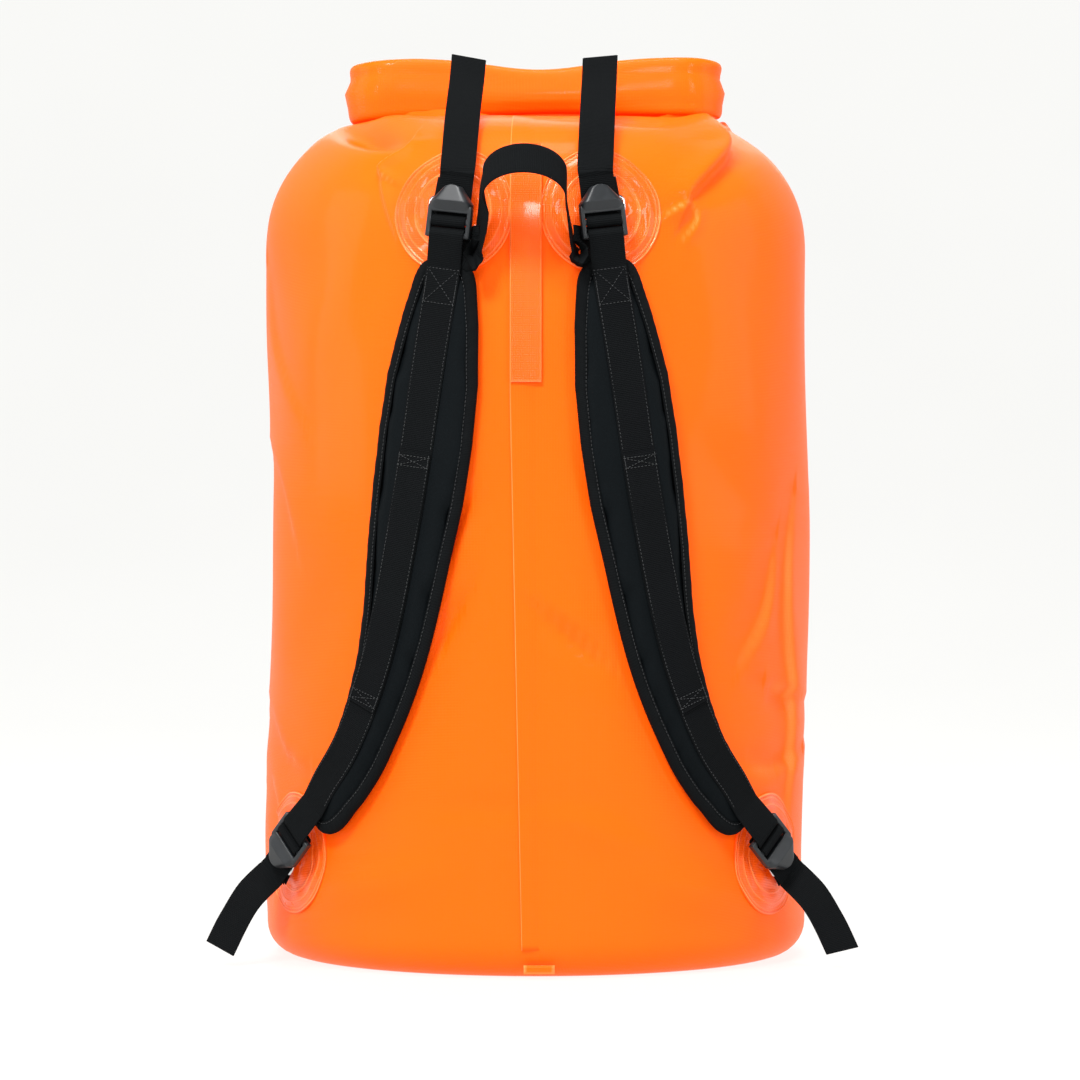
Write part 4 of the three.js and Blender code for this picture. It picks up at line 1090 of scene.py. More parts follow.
class Seat:
    """Where a lock is held: its fixed bar, and the directions across, along and away from the bag."""

    def __init__(self, joint):
        facts = JOINTS[joint]
        self.origin = Vector(facts["pos_m"])
        self.across = Vector(facts["axis"]).normalized()
        self.out = Vector((-self.across.y, self.across.x, 0.0)).normalized()
        if self.out.dot(Vector((self.origin.x, self.origin.y, 0))) < 0:
            self.out = -self.out
        self.along = self.out.cross(self.across)

    def at(self, across, along, out):
        return self.origin + self.across * across + self.along * along + self.out * out

    def matrix(self):
        turn = Matrix((self.across, self.along, self.out)).transposed().to_4x4()
        return Matrix.Translation(self.origin) @ turn


def lock_seat(level, name):
    return Seat(f"{level}_lock_tilt_{name}")


def ring_azimuth(level, side):
    """Where round the bag a harness ring sits."""
    if level == "upper":
        return side * math.asin(UPPER_X / RADIUS)
    return side * LOWER_AZIMUTH


def ring_frame(level, side, name):
    """Origin, across, along and out of a harness ring."""
    azimuth = ring_azimuth(level, side)
    low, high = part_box(f"{level}_patch_{name}")
    lean = -side * UPPER_LEAN if level == "upper" else side * LOWER_LEAN
    out = outward(azimuth)
    level_way = Vector((math.cos(azimuth), math.sin(azimuth), 0))
    along = level_way * math.sin(lean) + Vector((0, 0, math.cos(lean)))
    return out * RADIUS + Vector((0, 0, (low[2] + high[2]) / 2)), along.cross(out), along, out


# ------------------------------------------------------------------ webbing

def strap_section(width, thickness):
    """Points round a strap's section as (across, face, flatness), with rounded selvedges."""
    half, thin = width / 2, thickness / 2
    across = (-1.0, -0.93, -0.6, -0.2, 0.2, 0.6, 0.93, 1.0)
    top = [(half * a, thin * (0.35 if abs(a) == 1 else 1.0), 0.0 if abs(a) == 1 else 1.0) for a in across]
    return top + [(a, -f, flat) for a, f, flat in reversed(top)]


def strap_mesh(name, points, axes, look, width, thickness, step=0.0003):
    """A strap swept along points, carrying its own distances along and across."""
    route = even_points(points, step)
    travelled = np.cumsum([0] + [(b - a).length for a, b in zip(points, points[1:])])
    targets = np.linspace(0, travelled[-1], len(route))
    table = np.array([tuple(a) for a in axes])
    ways = [Vector(v) for v in zip(*(np.interp(targets, travelled, table[:, k]) for k in range(3)))]
    section = strap_section(width, thickness)
    rings, uvs, along, flat = [], [], [], []
    for point, forward, way, distance in zip(route, tangents(route), ways, targets):
        face = forward.cross(way).normalized()
        side = face.cross(forward).normalized()
        rings.append([point + side * a + face * f for a, f, _ in section])
        uvs += [(a, distance) for a, _, _ in section]
        along += [distance] * len(section)
        flat += [s for _, _, s in section]
    return loft(name, rings, look, uvs=uvs, attributes={"along": along, "flat": flat})


def strap_piece(name, points, axes, look, width=WEBBING, thickness=WEBBING_THICKNESS, ribbed=True):
    piece = strap_mesh(name, points, axes, look, width - 0.0004, thickness - 0.0003)
    if ribbed:
        run_tree(piece, rib_tree(), rib_pitch=sizes().rib_pitch, rib_height=sizes().rib_height * 0.5,
                 material=material(look))
    piece.data.polygons.foreach_set("use_smooth", [True] * len(piece.data.polygons))
    return piece


def folded_strap(name, place, side_view, width=WEBBING):
    """A strap whose side view is given as (along, out) in a frame of its own."""
    origin, across, along, out = place
    points = [origin + along * a + out * o for a, o in side_view]
    return strap_piece(name, points, [across] * len(points), "webbing", width)


def circle_part(x, y, radius, start, end, steps=10):
    """Points along an arc."""
    return [(x + radius * math.cos(a), y + radius * math.sin(a))
            for a in np.linspace(start, end, steps + 1)]


def ring_wire(name, place, look):
    """A D-shaped ring of round wire."""
    origin, across, along, out = place
    wire, half, side, bar, corner = 0.0015, 0.014, 0.006, 0.008, 0.003
    route = circle_part(0, bar - side, half, math.pi, 2 * math.pi, 28)
    route += circle_part(half - corner, bar - corner, corner, 0, math.pi / 2, 6)
    route += circle_part(corner - half, bar - corner, corner, math.pi / 2, math.pi, 6)[:-1]
    rings = []
    for i, (x, y) in enumerate(route):
        bx, by = route[i - 1]
        ax, ay = route[(i + 1) % len(route)]
        normal = Vector((ay - by, bx - ax)).normalized()
        ring = []
        for t in np.linspace(0, 2 * math.pi, 14, endpoint=False):
            a, b = x + normal.x * wire * math.cos(t), y + normal.y * wire * math.cos(t)
            ring.append(origin + across * a + along * b + out * (0.0055 + wire * math.sin(t)))
        rings.append(ring)
    return loft(name, rings, look, closed=True)


class DRYBAG_OT_rings(bpy.types.Operator):
    """The wire rings, the tabs that hold them and the webbing doubled round them"""
    bl_idname = "drybag.rings"
    bl_label = "Rings And Anchors"

    def execute(self, context):
        bend = 0.0025
        for side, name in SIDES:
            for level in ("upper", "lower"):
                place = ring_frame(level, side, name)
                ring = ring_wire(f"{level}_ring_{name}", place, "steel")
                finish_piece(ring, "root", "ring_steel", f"{level}_d_ring_{name}")
                around = circle_part(0.008, 0.0055, bend, -math.pi / 2, -1.5 * math.pi)
                tab = folded_strap(f"{level}_ring_tab_{name}", place,
                                   [(0.022, 0.003), *around, (0.022, 0.0046)], 0.023)
                finish_piece(tab, "root", "webbing", f"{level}_anchor_tab_{name}")
                around = circle_part(-0.012, 0.0055, bend, -math.pi / 2, -1.5 * math.pi)
                run = folded_strap(f"{level}_ring_webbing_{name}", place,
                                   [(0.002, 0.003), *around, (0.002, 0.008)], 0.023)
                finish_piece(run, "root", "webbing", f"{level}_anchor_run_{name}")
        return {"FINISHED"}


# ------------------------------------------------------------------ ladder locks

def outline_piece(name, outline, holes, thickness, edge):
    """A flat moulding with rounded edges, lying in the XY plane."""
    curve = bpy.data.curves.new(name, "CURVE")
    curve.dimensions = "2D"
    curve.fill_mode = "BOTH"
    curve.extrude = thickness / 2 - edge
    curve.bevel_depth = edge
    curve.bevel_resolution = 2
    curve.offset = -edge
    for loop in [outline, *holes]:
        spline = curve.splines.new("POLY")
        spline.points.add(len(loop) - 1)
        for point, (x, y) in zip(spline.points, loop):
            point.co = (x, y, 0, 1)
        spline.use_cyclic_u = True
    source = bpy.data.objects.new(name, curve)
    bpy.context.collection.objects.link(source)
    bpy.context.view_layer.update()
    graph = bpy.context.evaluated_depsgraph_get()
    mesh = bpy.data.meshes.new_from_object(source.evaluated_get(graph))
    bpy.data.objects.remove(source)
    mesh.materials.clear()
    mesh.materials.append(material("plastic"))
    shape = bmesh.new()
    shape.from_mesh(mesh)
    bmesh.ops.remove_doubles(shape, verts=shape.verts, dist=1e-6)
    shape.to_mesh(mesh)
    shape.free()
    piece = bpy.data.objects.new(name, mesh)
    bpy.context.collection.objects.link(piece)
    return piece


def rectangle(x0, x1, y0, y1):
    return [(x0, y0), (x1, y0), (x1, y1), (x0, y1)]


def thumb_tab(half, start, shoulder, tip, tip_half):
    """The lock's raised thumb tab: a short dark slope, then a long one that narrows to a blunt tip."""
    rows, columns = 34, 21
    crest, low, rise, edge, under = 0.40, 0.0020, 0.0036, -0.0006, -0.0019
    top, bottom = [], []
    for i in range(rows):
        share = i / (rows - 1)
        along = start + (tip - start) * share
        fall = max((along - shoulder) / (tip - shoulder), 0.0)
        reach = half + (tip_half - half) * fall
        reach *= math.sqrt(1 - max(0.0, (fall - 0.86) / 0.14) ** 2 * 0.9)
        climb = share / crest if share < crest else 1 - (share - crest) / (1 - crest) * 0.75
        high = low + rise * climb
        for j in range(columns):
            across = -1 + 2 * j / (columns - 1)
            rounding = (1 - abs(across) ** 9) * 0.85 + 0.15
            top.append((across * reach, along, edge + (high - edge) * rounding))
            bottom.append((across * reach, along, under))
    count = rows * columns
    faces = grid_faces(rows, columns, close_columns=False)
    faces += [tuple(count + v for v in reversed(f)) for f in grid_faces(rows, columns, close_columns=False)]
    border = ([j for j in range(columns)] + [r * columns + columns - 1 for r in range(1, rows)]
              + [(rows - 1) * columns + j for j in range(columns - 2, -1, -1)]
              + [r * columns for r in range(rows - 2, 0, -1)])
    for a, b in zip(border, border[1:] + border[:1]):
        faces.append((b, a, count + a, count + b))
    return top + bottom, faces


def join_into(target, points, faces):
    """Adds more closed bodies to a piece's mesh."""
    shape = bmesh.new()
    shape.from_mesh(target.data)
    verts = [shape.verts.new(p) for p in points]
    for face in faces:
        shape.faces.new([verts[i] for i in face])
    bmesh.ops.recalc_face_normals(shape, faces=shape.faces)
    shape.to_mesh(target.data)
    shape.free()


def bar_mesh(half, centre, radius, flat=1.0):
    """A round bar across the lock."""
    sides = 14
    points = [(x, centre + radius * math.cos(t), radius * flat * math.sin(t))
              for x in (-half, half) for t in np.linspace(0, 2 * math.pi, sides, endpoint=False)]
    faces = grid_faces(2, sides) + [tuple(range(sides)), tuple(range(2 * sides - 1, sides - 1, -1))]
    return points, faces


class DRYBAG_OT_locks(bpy.types.Operator):
    """The four moulded ladder locks"""
    bl_idname = "drybag.locks"
    bl_label = "Ladder Locks"

    def execute(self, context):
        half, rail, shoulder = 0.016, 0.0034, 0.0205
        outline = rectangle(-half, half, -0.002, shoulder - 0.001)
        outline[2:] = [(half, shoulder - 0.002), (half - 0.001, shoulder), (0.001 - half, shoulder),
                       (-half, shoulder - 0.002)]
        inner = half - rail
        holes = [rectangle(-inner, inner, 0.002, 0.0071), rectangle(-inner, inner, 0.0111, 0.0151)]
        for side, name in SIDES:
            for level in ("upper", "lower"):
                piece = outline_piece(f"{level}_strap_lock_{name}", outline, holes, 0.0052, 0.0012)
                join_into(piece, *thumb_tab(half - 0.0004, 0.0153, 0.0215, 0.0341, 0.0052))
                join_into(piece, *bar_mesh(half - 0.001, 0.0, 0.0025, 0.95))
                join_into(piece, *bar_mesh(half - 0.001, 0.0091, 0.0021, 1.0))
                piece.data.polygons.foreach_set("use_smooth", [True] * len(piece.data.polygons))
                piece.data.set_sharp_from_angle(angle=math.radians(38))
                piece.data.transform(lock_seat(level, name).matrix())
                finish_piece(piece, f"{level}_lock_{name}", "moulded_plastic",
                             f"{level}_ladder_lock_{name}")
        return {"FINISHED"}


class DRYBAG_OT_tails(bpy.types.Operator):
    """The adjusting webbing: over each lock's middle bar, out beneath its tab and on as a loose tail"""
    bl_idname = "drybag.tails"
    bl_label = "Loose Webbing"
    SLANTS = {("upper", "left"): -0.0055, ("upper", "right"): 0.0035,
              ("lower", "left"): -0.0035, ("lower", "right"): -0.0035}

    def execute(self, context):
        middle, bend = 0.0091, 0.0034
        for side, name in SIDES:
            for level, parent in (("upper", "root"), ("lower", f"strap_{name}")):
                seat = lock_seat(level, name)
                over = circle_part(middle, 0.0004, bend, math.pi, 0)
                before, after = middle - bend, middle + bend
                side_view = [(before, -TAIL_DEPTH), (before, -0.002), *over, (after, -0.0025),
                             (after + 0.001, -0.0040), (after + 0.003, -TAIL_DEPTH), (0.030, -TAIL_DEPTH),
                             (0.0405, -TAIL_DEPTH)]
                points = [seat.at(0, a, o) for a, o in side_view]
                start = len(points)
                points += self.loose_end(level, side, name, points[-1], seat)
                axes = [seat.across.copy() for _ in points]
                if level == "upper":
                    for i in range(start, len(points)):
                        share = (i - start) / (len(points) - start)
                        axes[i] = seat.across.lerp(Vector((1, 0, 0)), share).normalized()
                piece = strap_piece(f"{level}_adjusting_webbing_{name}", points, axes, "webbing")
                self.bevel_end(piece, points, axes, self.SLANTS[level, name])
                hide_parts(f"{level}_lock_webbing_{name}", f"{level}_tail_webbing_{name}")
                tuple(seat.at(0, 0.034, -TAIL_DEPTH))
                tuple(seat.at(0, 0.060, -TAIL_DEPTH))
                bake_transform(piece)
        return {"FINISHED"}

    def loose_end(self, level, side, name, start, seat):
        """The free part of a tail, on from where it leaves the lock."""
        lead = seat.at(0, 0.0455, -TAIL_DEPTH)
        if level == "lower":
            ends = [seat.origin + Vector((side * x, -out, up)) for x, out, up in LOWER_TAIL]
            return smooth_path([start, lead, *ends], 0.003)[1:]
        places = [start, lead]
        rise = BODY_TOP + UPPER_TAIL[-1][1] - lead.z
        for out_share, above in UPPER_TAIL:
            z = BODY_TOP + above
            x = abs(lead.x) + (UPPER_TAIL_END_X[name] - abs(lead.x)) * (z - lead.z) / rise
            out = -ROLL_LOW[1] + (RADIUS + ROLL_LOW[1]) * out_share
            places.append(Vector((side * x, -out, z)))
        return smooth_path(places, 0.003)[1:]

    def bevel_end(self, piece, points, axes, slant):
        """Cuts the tail's end on a slant, fading out along the last of it."""
        fade, near = 0.02, 0.03
        end, way = points[-1], axes[-1].normalized()
        forward = (points[-1] - points[-2]).normalized()
        for vertex in piece.data.vertices:
            reach = (vertex.co - end).dot(forward)
            if reach > -fade and (vertex.co - end).length < near:
                across = (vertex.co - end).dot(way) / WEBBING
                vertex.co += forward * across * slant * max(0.0, 1 + reach / fade)


# ------------------------------------------------------------------ shoulder pads

class PadLine:
    """The strap's centreline over the bag, measured from lock to lock."""

    def __init__(self, side, name):
        self.side = side
        top, bottom = lock_seat("upper", name).origin, lock_seat("lower", name).origin
        flat = []
        for across, down in PAD_ROUTE:
            x = abs(top.x) + (abs(bottom.x) - abs(top.x)) * across
            way = side * RADIUS * math.asin(x / (RADIUS + LOCK_LIFT))
            flat.append(Vector((way, top.z + (bottom.z - top.z) * down, 0)))
        self.points = smooth_path(flat, 0.001)
        self.ways = tangents(self.points)
        self.length = 0.001 * (len(self.points) - 1)

    def at(self, distance, to_outer, out):
        """A place given along the line, sideways towards the bag's side, and away from the bag."""
        place = min(max(distance / self.length, 0), 1) * (len(self.points) - 1)
        index = min(int(place), len(self.points) - 2)
        share = place - index
        point = self.points[index].lerp(self.points[index + 1], share)
        way = self.ways[index].lerp(self.ways[index + 1], share).normalized()
        across = Vector((-way.y, way.x)) * self.side
        azimuth = (point.x + across.x * to_outer) / RADIUS
        place = outward(azimuth) * (RADIUS + out)
        return Vector((place.x, place.y, point.y + across.y * to_outer))

    def across(self, distance, out):
        """Direction of the webbing's width."""
        return (self.at(distance, 0.001, out) - self.at(distance, -0.001, out)).normalized() * self.side


def list_value(values, share):
    """Reads a list of even steps part-way along."""
    return float(np.interp(share * (len(values) - 1), range(len(values)), values))


def pad_widths(line, distance, inset):
    """Half-widths towards the outer and the inner side, rounded off at both ends."""
    start, end = PAD_TOP_GAP + inset, line.length - PAD_BOTTOM_GAP - inset
    share = min(max((distance - start) / (end - start), 0), 1)
    outer = list_value(PAD_OUTER, share) * MM - inset
    inner = list_value(PAD_INNER, share) * MM - inset
    near_end = min(max((end - distance) / 0.026, 0), 1)
    near_start = min(max((distance - start) / 0.018, 0), 1)
    tip = (1 - (1 - near_end) ** 2.6) ** (1 / 2.6)
    crown = (1 - (1 - near_start) ** 3) ** (1 / 3)
    floor = 0.006
    return floor + (outer - floor) * tip * crown, floor + (inner - floor) * tip * crown


def pad_outline(line, inset, out, count=150):
    """Points round the pad's edge, at a height off the bag."""
    start, end = PAD_TOP_GAP + inset, line.length - PAD_BOTTOM_GAP - inset
    shares = (1 - np.cos(np.linspace(0, math.pi, count))) / 2
    distances = start + (end - start) * shares
    widths = [pad_widths(line, d, inset) for d in distances]
    outer = [line.at(d, w[0], out) for d, w in zip(distances, widths)]
    inner = [line.at(d, -w[1], out) for d, w in zip(distances, widths)]
    return outer + inner[::-1]


def pad_form(line):
    """The pad before it is filled: a thin lens that follows the bag."""
    inset = 0.0035
    start, end = PAD_TOP_GAP + inset, line.length - PAD_BOTTOM_GAP - inset
    rings = []
    middle = (PAD_LOW + PAD_HIGH) / 2
    for share in (1 - np.cos(np.linspace(0, math.pi, 110))) / 2:
        distance = start + (end - start) * share
        outer, inner = pad_widths(line, distance, inset)
        ring = []
        for t in np.linspace(0, 2 * math.pi, 40, endpoint=False):
            c, s = math.cos(t), math.sin(t)
            reach = outer if c > 0 else inner
            thick = 0.0028 * (1 - abs(c) ** 6) ** 0.5 + 0.0006
            ring.append(line.at(distance, reach * math.copysign(abs(c) ** 0.7, c),
                                middle + thick * math.copysign(abs(s) ** 0.6, s)))
        rings.append(ring)
    return rings


def inflate(piece, cap, frames):
    """Fills a pad by a short cloth simulation. Only the swelling away from the bag is kept, under a cap."""
    add_modifier(piece, "REMESH", mode="VOXEL", voxel_size=0.004)
    apply_evaluated(piece)
    count = len(piece.data.vertices)
    before = np.empty(count * 3)
    piece.data.vertices.foreach_get("co", before)
    cloth = add_modifier(piece, "CLOTH")
    cloth.settings.use_pressure = True
    cloth.settings.uniform_pressure_force = 4.0
    cloth.settings.effector_weights.gravity = 0.0
    cloth.settings.quality = 5
    cloth.settings.tension_stiffness = 12
    cloth.settings.compression_stiffness = 12
    cloth.settings.bending_stiffness = 0.6
    cloth.point_cache.frame_start = 1
    cloth.point_cache.frame_end = frames
    scene = bpy.context.scene
    for step in range(1, frames + 1):
        scene.frame_set(step)
    apply_evaluated(piece)
    scene.frame_set(1)
    after = np.empty(count * 3)
    piece.data.vertices.foreach_get("co", after)
    before, move = before.reshape(-1, 3), (after - before).reshape(-1, 3)
    away = before * (1, 1, 0)
    away /= np.linalg.norm(away, axis=1, keepdims=True)
    swell = np.clip((move * away).sum(axis=1, keepdims=True), -cap, cap)
    move = away * swell
    piece.data.vertices.foreach_set("co", (before + move).ravel())
    piece.data.update()


class DRYBAG_OT_pads(bpy.types.Operator):
    """The padded shoulder straps, filled by cloth simulation, with bound and stitched edges"""
    bl_idname = "drybag.pads"
    bl_label = "Shoulder Pads"
    SWELL_CAP = 0.0035
    CHANNEL = (0.0145, 0.003, 0.0012)
    QUILTING = (0.083, 0.0009)
    UNDER_WEBBING = 0.0135

    def execute(self, context):
        for side, name in SIDES:
            line = PadLine(side, name)
            pad = loft(f"padded_strap_{name}", pad_form(line), "padding")
            inflate(pad, self.SWELL_CAP, sizes().cloth_frames)
            self.settle(pad, line)
            add_modifier(pad, "SUBSURF", levels=1, render_levels=1)
            apply_evaluated(pad)
            pad.data.materials.clear()
            pad.data.materials.append(material("padding"))
            pad.data.polygons.foreach_set("use_smooth", [True] * len(pad.data.polygons))
            finish_piece(pad, f"strap_{name}", "padding", f"shoulder_pad_{name}")
            self.binding(line, name)
        return {"FINISHED"}

    def settle(self, pad, line):
        """Keeps the pad off the bag, presses the sewn channel and adds the dents between its stitches."""
        step = 0.002
        table = np.array([tuple(line.at(d, 0, 0)) for d in np.arange(0, line.length, step)])
        middle = (PAD_LOW + PAD_HIGH) / 2
        place, width, depth = self.CHANNEL
        pitch, dent = self.QUILTING
        for vertex in pad.data.vertices:
            co = vertex.co
            flat = math.hypot(co.x, co.y)
            near = np.linalg.norm(table - np.array(co), axis=1)
            distance, lateral = step * int(near.argmin()), float(near.min())
            out = flat - RADIUS
            if out > middle:
                quilting = 0.5 + 0.5 * math.cos(distance * 2 * math.pi / pitch)
                out -= depth * hump(lateral, place, width) + dent * quilting ** 6
                out = min(out, PAD_HIGH + 0.0006)
                if lateral < self.UNDER_WEBBING:
                    out = min(out, PAD_HIGH - 0.0005)
            else:
                out = max(out, PAD_LOW)
            co.x *= (RADIUS + out) / flat
            co.y *= (RADIUS + out) / flat

    def binding(self, line, name):
        """The tape folded round the pad's edge, and its row of stitches."""
        reach = BINDING_REACH
        low, high = PAD_LOW + 0.0004, PAD_HIGH - 0.0016
        middle = (low + high) / 2
        outer = ((reach, high + 0.0004), (reach * 0.5, high + 0.0006), (0.0016, high - 0.0004),
                 (0.0003, middle + 0.0018), (0.0, middle), (0.0003, middle - 0.0018),
                 (0.0016, low + 0.0004), (reach * 0.5, low), (reach, low))
        inner = ((reach, low + 0.0008), (0.0024, low + 0.0014), (0.0014, middle), (0.0024, high - 0.0014),
                 (reach, high - 0.0006))
        section = outer + inner
        edges = [pad_outline(line, inset, out) for inset, out in section]
        count = len(edges[0])
        rings = []
        uvs = []
        for i in range(count):
            pucker = 0.00022 * math.sin(i * 1.9) + 0.00015 * math.sin(i * 0.73)
            ring = []
            for k, edge in enumerate(edges):
                point = edge[i]
                push = pucker if k < 4 else 0
                scale = 1 + push / math.hypot(point.x, point.y)
                ring.append(Vector((point.x * scale, point.y * scale, point.z)))
                uvs.append((section[k][0] + section[k][1], i * 0.0029))
            rings.append(ring)
        piece = loft(f"edge_binding_{name}", rings, "binding", closed=True, uvs=uvs)
        finish_piece(piece, f"strap_{name}", "binding", f"pad_binding_{name}")
        seam = pad_outline(line, reach - 0.0012, high + 0.0008)
        stitch_rows(f"binding_stitches_{name}", [seam + seam[:1]], f"strap_{name}", "binding", 0.8)


class DRYBAG_OT_pad_webbing(bpy.types.Operator):
    """The webbing sewn down each pad and looped round a lock at each end"""
    bl_idname = "drybag.pad_webbing"
    bl_label = "Sewn Webbing"

    def execute(self, context):
        face = 0.0131
        for side, name in SIDES:
            line = PadLine(side, name)
            upper, lower = lock_seat("upper", name), lock_seat("lower", name)
            points, axes = [], []
            for a, o in circle_part(0, 0, 0.00408, -0.75 * math.pi, math.pi / 2, 12):
                points.append(upper.at(0, a, o))
                axes.append(upper.across)
            for distance in np.arange(PAD_TOP_GAP + 0.005, line.length - PAD_BOTTOM_GAP - 0.011, 0.004):
                points.append(line.at(distance, 0, self.height(distance, face)))
                axes.append(line.across(distance, face))
            for a, o in circle_part(0, 0, 0.00408, math.pi / 2, -0.75 * math.pi, 12):
                points.append(lower.at(0, a, o))
                axes.append(-lower.across)
            self.even_axes(axes)
            piece = strap_piece(f"sewn_webbing_{name}", points, axes, "webbing")
            finish_piece(piece, f"strap_{name}", "webbing", f"pad_webbing_{name}")
            self.doubled(line, name, face)
            self.stitches(line, name, face)
        return {"FINISHED"}

    def height(self, distance, face):
        return face + 0.00025 * math.sin(distance * 75)

    def even_axes(self, axes):
        for i in range(1, len(axes)):
            if axes[i].dot(axes[i - 1]) < 0:
                axes[i] = -axes[i]

    def doubled(self, line, name, face):
        """The doubled length of webbing, a flat strip laid one thickness above the sewn webbing."""
        distances = np.arange(*DOUBLED_RUN, 0.004)
        points = [line.at(d, 0, self.height(d, face) + WEBBING_THICKNESS + 0.0001) for d in distances]
        axes = [line.across(d, face) for d in distances]
        piece = strap_piece(f"doubled_webbing_0_{name}", points, axes, "webbing", WEBBING - 0.0006)
        finish_piece(piece, f"strap_{name}", "webbing")

    def stitches(self, line, name, face):
        edge = WEBBING / 2 - 0.0022
        top = face + WEBBING_THICKNESS / 2 + 0.0002
        doubled = top + WEBBING_THICKNESS
        runs = ((*SEAM_RUNS[0], top), (*SEAM_RUNS[1], doubled), (0.331, line.length - 0.03, top))
        rows = [[line.at(d, sign * edge, high) for d in np.arange(start, end, 0.003)]
                for sign in (-1, 1) for start, end, high in runs]
        for (start, end), high in ((TOP_TACK, top), *((tack, doubled) for tack in DOUBLED_TACKS)):
            corners = [(start, -edge), (start, edge), (end, edge), (end, -edge), (start, -edge)]
            rows.append(self.line_between(line, corners, high))
            rows.append(self.line_between(line, [(start, -edge), (end, edge)], high))
            rows.append(self.line_between(line, [(start, edge), (end, -edge)], high))
        stitch_rows(f"webbing_stitches_{name}", rows, f"strap_{name}", "webbing", 0.75)

    def line_between(self, line, corners, high):
        path = even_points([Vector((d, a, 0)) for d, a in corners], 0.002)
        return [line.at(p.x, p.y, high) for p in path]


class DRYBAG_OT_handle(bpy.types.Operator):
    """The haul handle: a webbing loop that twists down to a ring at each root"""
    bl_idname = "drybag.handle"
    bl_label = "Haul Handle"

    def execute(self, context):
        pivot = Vector(JOINTS["haul_handle_swing"]["pos_m"])
        half, rise = 0.028, math.radians(33)
        reach = Vector((0, -math.cos(rise), math.sin(rise)))
        flat = Vector((0, reach.z, -reach.y))
        leg = [(0.0325, 0.000, 0.000), (0.0300, 0.003, 0.014), (0.028, 0.011, 0.029), (0.028, 0.025, 0.041)]
        right = [Vector((x, pivot.y - out, pivot.z + up)) for x, out, up in leg]
        spring = right[-1]
        crown = [Vector((half * math.cos(t), spring.y, spring.z)) + reach * half * math.sin(t)
                 for t in np.linspace(0, math.pi, 17)[1:-1]]
        root = [Vector((0.0385, -0.2020, 0.5150)), Vector((0.0400, -0.2035, 0.5060)),
                Vector((0.0392, -0.2070, 0.4975)), Vector((0.0355, -0.2100, 0.4945))]
        chain = root + right + crown + self.mirrored(right) + self.mirrored(root)
        right_ways = [Vector((0.5, 1, 0.3)), Vector((0.6, 0.9, 0.2)), Vector((0.6, 0.8, 0.1)),
                      Vector((0.4, 0.9, 0.1)), Vector((0.12, 1, 0)), Vector((0.05, 1, 0)),
                      Vector((-0.05, 0.9, 0.3)), flat]
        left_ways = [Vector((-0.5, 1, 0.3)), Vector((-0.8, 0.8, 0.2)), Vector((-0.9, 0.6, 0.1)),
                     Vector((-0.7, 0.7, 0.1)), Vector((-0.25, 0.95, 0.1)), Vector((-0.33, 0.92, 0.1)),
                     Vector((-0.3, 0.9, 0.4)), flat]
        ways = right_ways + [flat] * len(crown) + left_ways[::-1]
        points, axes = self.smoothed(chain, ways)
        heights = [p.z for p in points]
        half_way = len(points) // 2
        first = heights.index(min(heights[:half_way]))
        last = half_way + heights[half_way:].index(min(heights[half_way:]))
        for name, part in (("right", slice(0, first + 2)), ("left", slice(last - 1, None))):
            root_piece = strap_piece(f"haul_loop_root_{name}", points[part], axes[part], "webbing")
            finish_piece(root_piece, "root", "webbing", f"haul_handle_root_{name}")
        loop = slice(first, last + 1)
        piece = strap_piece("haul_loop", points[loop], axes[loop], "webbing")
        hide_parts("haul_handle")
        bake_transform(piece)
        return {"FINISHED"}

    def mirrored(self, chain):
        return [Vector((-p.x, p.y, p.z)) for p in reversed(chain)]

    def smoothed(self, chain, ways):
        """A smooth route, with the width direction carried along it."""
        step = 0.002
        route = smooth_path(chain, step)
        travelled = np.cumsum([0] + [(b - a).length for a, b in zip(chain, chain[1:])])
        scale = travelled[-1] / (len(route) - 1)
        table = np.array([tuple(w.normalized()) for w in ways])
        axes = []
        for i in range(len(route)):
            axes.append(Vector([float(np.interp(i * scale, travelled, table[:, k])) for k in range(3)]))
        return route, axes


# ------------------------------------------------------------------ stage

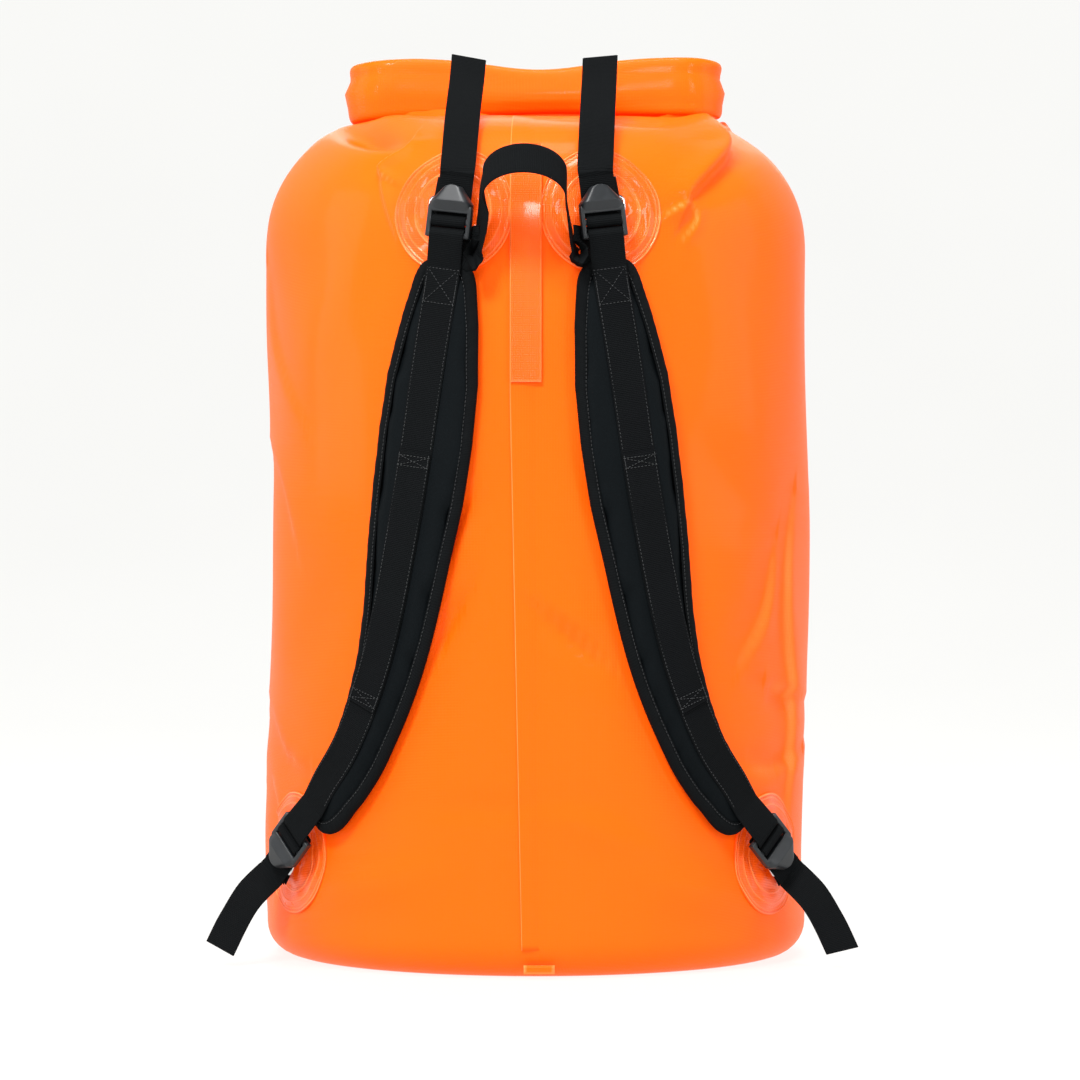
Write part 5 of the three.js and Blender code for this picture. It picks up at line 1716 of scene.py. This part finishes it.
class DRYBAG_OT_stage(bpy.types.Operator):
    """The pale floor, the soft studio light and the camera"""
    bl_idname = "drybag.stage"
    bl_label = "Stage"

    def execute(self, context):
        self.sweep()
        self.world()
        lights = (  # name, place, size, power
            ("key", (-0.8, -2.2, 2.3), 0.6, 78.0), ("fill", (1.75, -2.05, 1.0), 0.55, 12.0),
            ("top", (0.1, -0.7, 2.6), 0.8, 40.0), ("left_edge", (-2.2, -0.2, 0.9), 1.2, 16.0),
            ("right_edge", (2.2, -0.2, 0.9), 1.2, 13.0), ("back", (0.0, 2.2, 1.6), 1.4, 14.0),
            ("front_glint", (0.04, -2.6, 1.0), 0.3, 8.0),
            ("left_glint", (-1.75, -2.05, 1.0), 0.4, 6.0))
        for name, place, size, power in lights:
            self.softbox(name, Vector(place), size, power)
        self.camera(context)
        context.scene.view_settings.view_transform = "Standard"
        context.scene.view_settings.look = "None"
        return {"FINISHED"}

    def sweep(self):
        """A floor that curves up behind the bag."""
        behind, curve = 2.0, 1.5
        profile = [(-6.0, 0.0), (behind, 0.0)]
        profile += circle_part(behind, curve, curve, -math.pi / 2, 0, 13)
        profile.append((behind + curve, 6.0))
        points = [(x, y, z) for y, z in profile for x in (-7.0, 7.0)]
        faces = [(2 * i, 2 * i + 1, 2 * i + 3, 2 * i + 2) for i in range(len(profile) - 1)]
        shader = Shader("studio_floor", roughness=0.6, specular_ior_level=0.1, emission_strength=0.865)
        paper = shader.noise(3.0, 2.0)
        shader.feed(base_color=shader.mix(paper, (0.10, 0.10, 0.098), (0.11, 0.11, 0.108)),
                    emission_color=shader.mix(paper, (0.98, 0.98, 0.96), (1.0, 1.0, 0.98)))
        mesh = bpy.data.meshes.new("studio_sweep")
        mesh.from_pydata(points, [], faces)
        mesh.materials.append(shader.material)
        mesh.polygons.foreach_set("use_smooth", [True] * len(mesh.polygons))
        floor = bpy.data.objects.new("studio_sweep", mesh)
        bpy.context.collection.objects.link(floor)

    def world(self):
        world = bpy.data.worlds.new("studio_world")
        world.use_nodes = True
        background = world.node_tree.nodes["Background"]
        background.inputs["Color"].default_value = (1.0, 0.99, 0.97, 1.0)
        background.inputs["Strength"].default_value = 0.12
        bpy.context.scene.world = world

    def softbox(self, name, place, size, power):
        light = bpy.data.lights.new(name, "AREA")
        light.shape = "SQUARE"
        light.size = size
        light.energy = power
        lamp = bpy.data.objects.new(name, light)
        lamp.location = place
        lamp.rotation_euler = (Vector((0, 0, 0.32)) - place).to_track_quat("-Z", "Y").to_euler()
        bpy.context.collection.objects.link(lamp)

    def camera(self, context):
        data = bpy.data.cameras.new("camera")
        data.lens = CAMERA_LENS
        data.sensor_width = 36.0
        data.clip_end = 30.0
        camera = bpy.data.objects.new("camera", data)
        spot = outward(CAMERA_AZIMUTH) * CAMERA_DISTANCE + Vector((0, 0, CAMERA_HEIGHT))
        right = Vector((math.cos(CAMERA_AZIMUTH), math.sin(CAMERA_AZIMUTH), 0))
        camera.location = spot + right * AIM_RIGHT
        target = right * AIM_RIGHT + Vector((0, 0, CAMERA_HEIGHT))
        camera.rotation_euler = (target - camera.location).to_track_quat("-Z", "Y").to_euler()
        bpy.context.collection.objects.link(camera)
        context.scene.camera = camera


# ------------------------------------------------------------------ add-on

STEPS = ("body", "base", "seam", "patches", "roll", "rings", "locks", "tails", "pads", "pad_webbing",
         "handle", "buckle", "stage")


class DRYBAG_PT_panel(bpy.types.Panel):
    """Lists the bag's sizes, colours and pieces"""
    bl_idname = "DRYBAG_PT_panel"
    bl_label = "Dry Bag"
    bl_space_type = "VIEW_3D"
    bl_region_type = "UI"
    bl_category = "Dry Bag"

    def draw(self, context):
        for group in (context.scene.drybag_sizes, context.scene.drybag_colours):
            box = self.layout.box()
            for key in group.__annotations__:
                box.prop(group, key)
        for step in STEPS:
            self.layout.operator(f"drybag.{step}")


CLASSES = (
    DRYBAG_PG_sizes, DRYBAG_PG_colours, DRYBAG_OT_body, DRYBAG_OT_base, DRYBAG_OT_seam, DRYBAG_OT_patches,
    DRYBAG_OT_roll, DRYBAG_OT_rings, DRYBAG_OT_locks, DRYBAG_OT_tails, DRYBAG_OT_pads,
    DRYBAG_OT_pad_webbing, DRYBAG_OT_handle, DRYBAG_OT_buckle, DRYBAG_OT_stage, DRYBAG_PT_panel,
)


def register():
    for cls in CLASSES:
        bpy.utils.register_class(cls)
    bpy.types.Scene.drybag_sizes = PointerProperty(type=DRYBAG_PG_sizes)
    bpy.types.Scene.drybag_colours = PointerProperty(type=DRYBAG_PG_colours)


def unregister():
    del bpy.types.Scene.drybag_sizes
    del bpy.types.Scene.drybag_colours
    for cls in reversed(CLASSES):
        bpy.utils.unregister_class(cls)


def main():
    register()
    for step in STEPS:
        getattr(bpy.ops.drybag, step)()


if __name__ == "__main__":
    main()
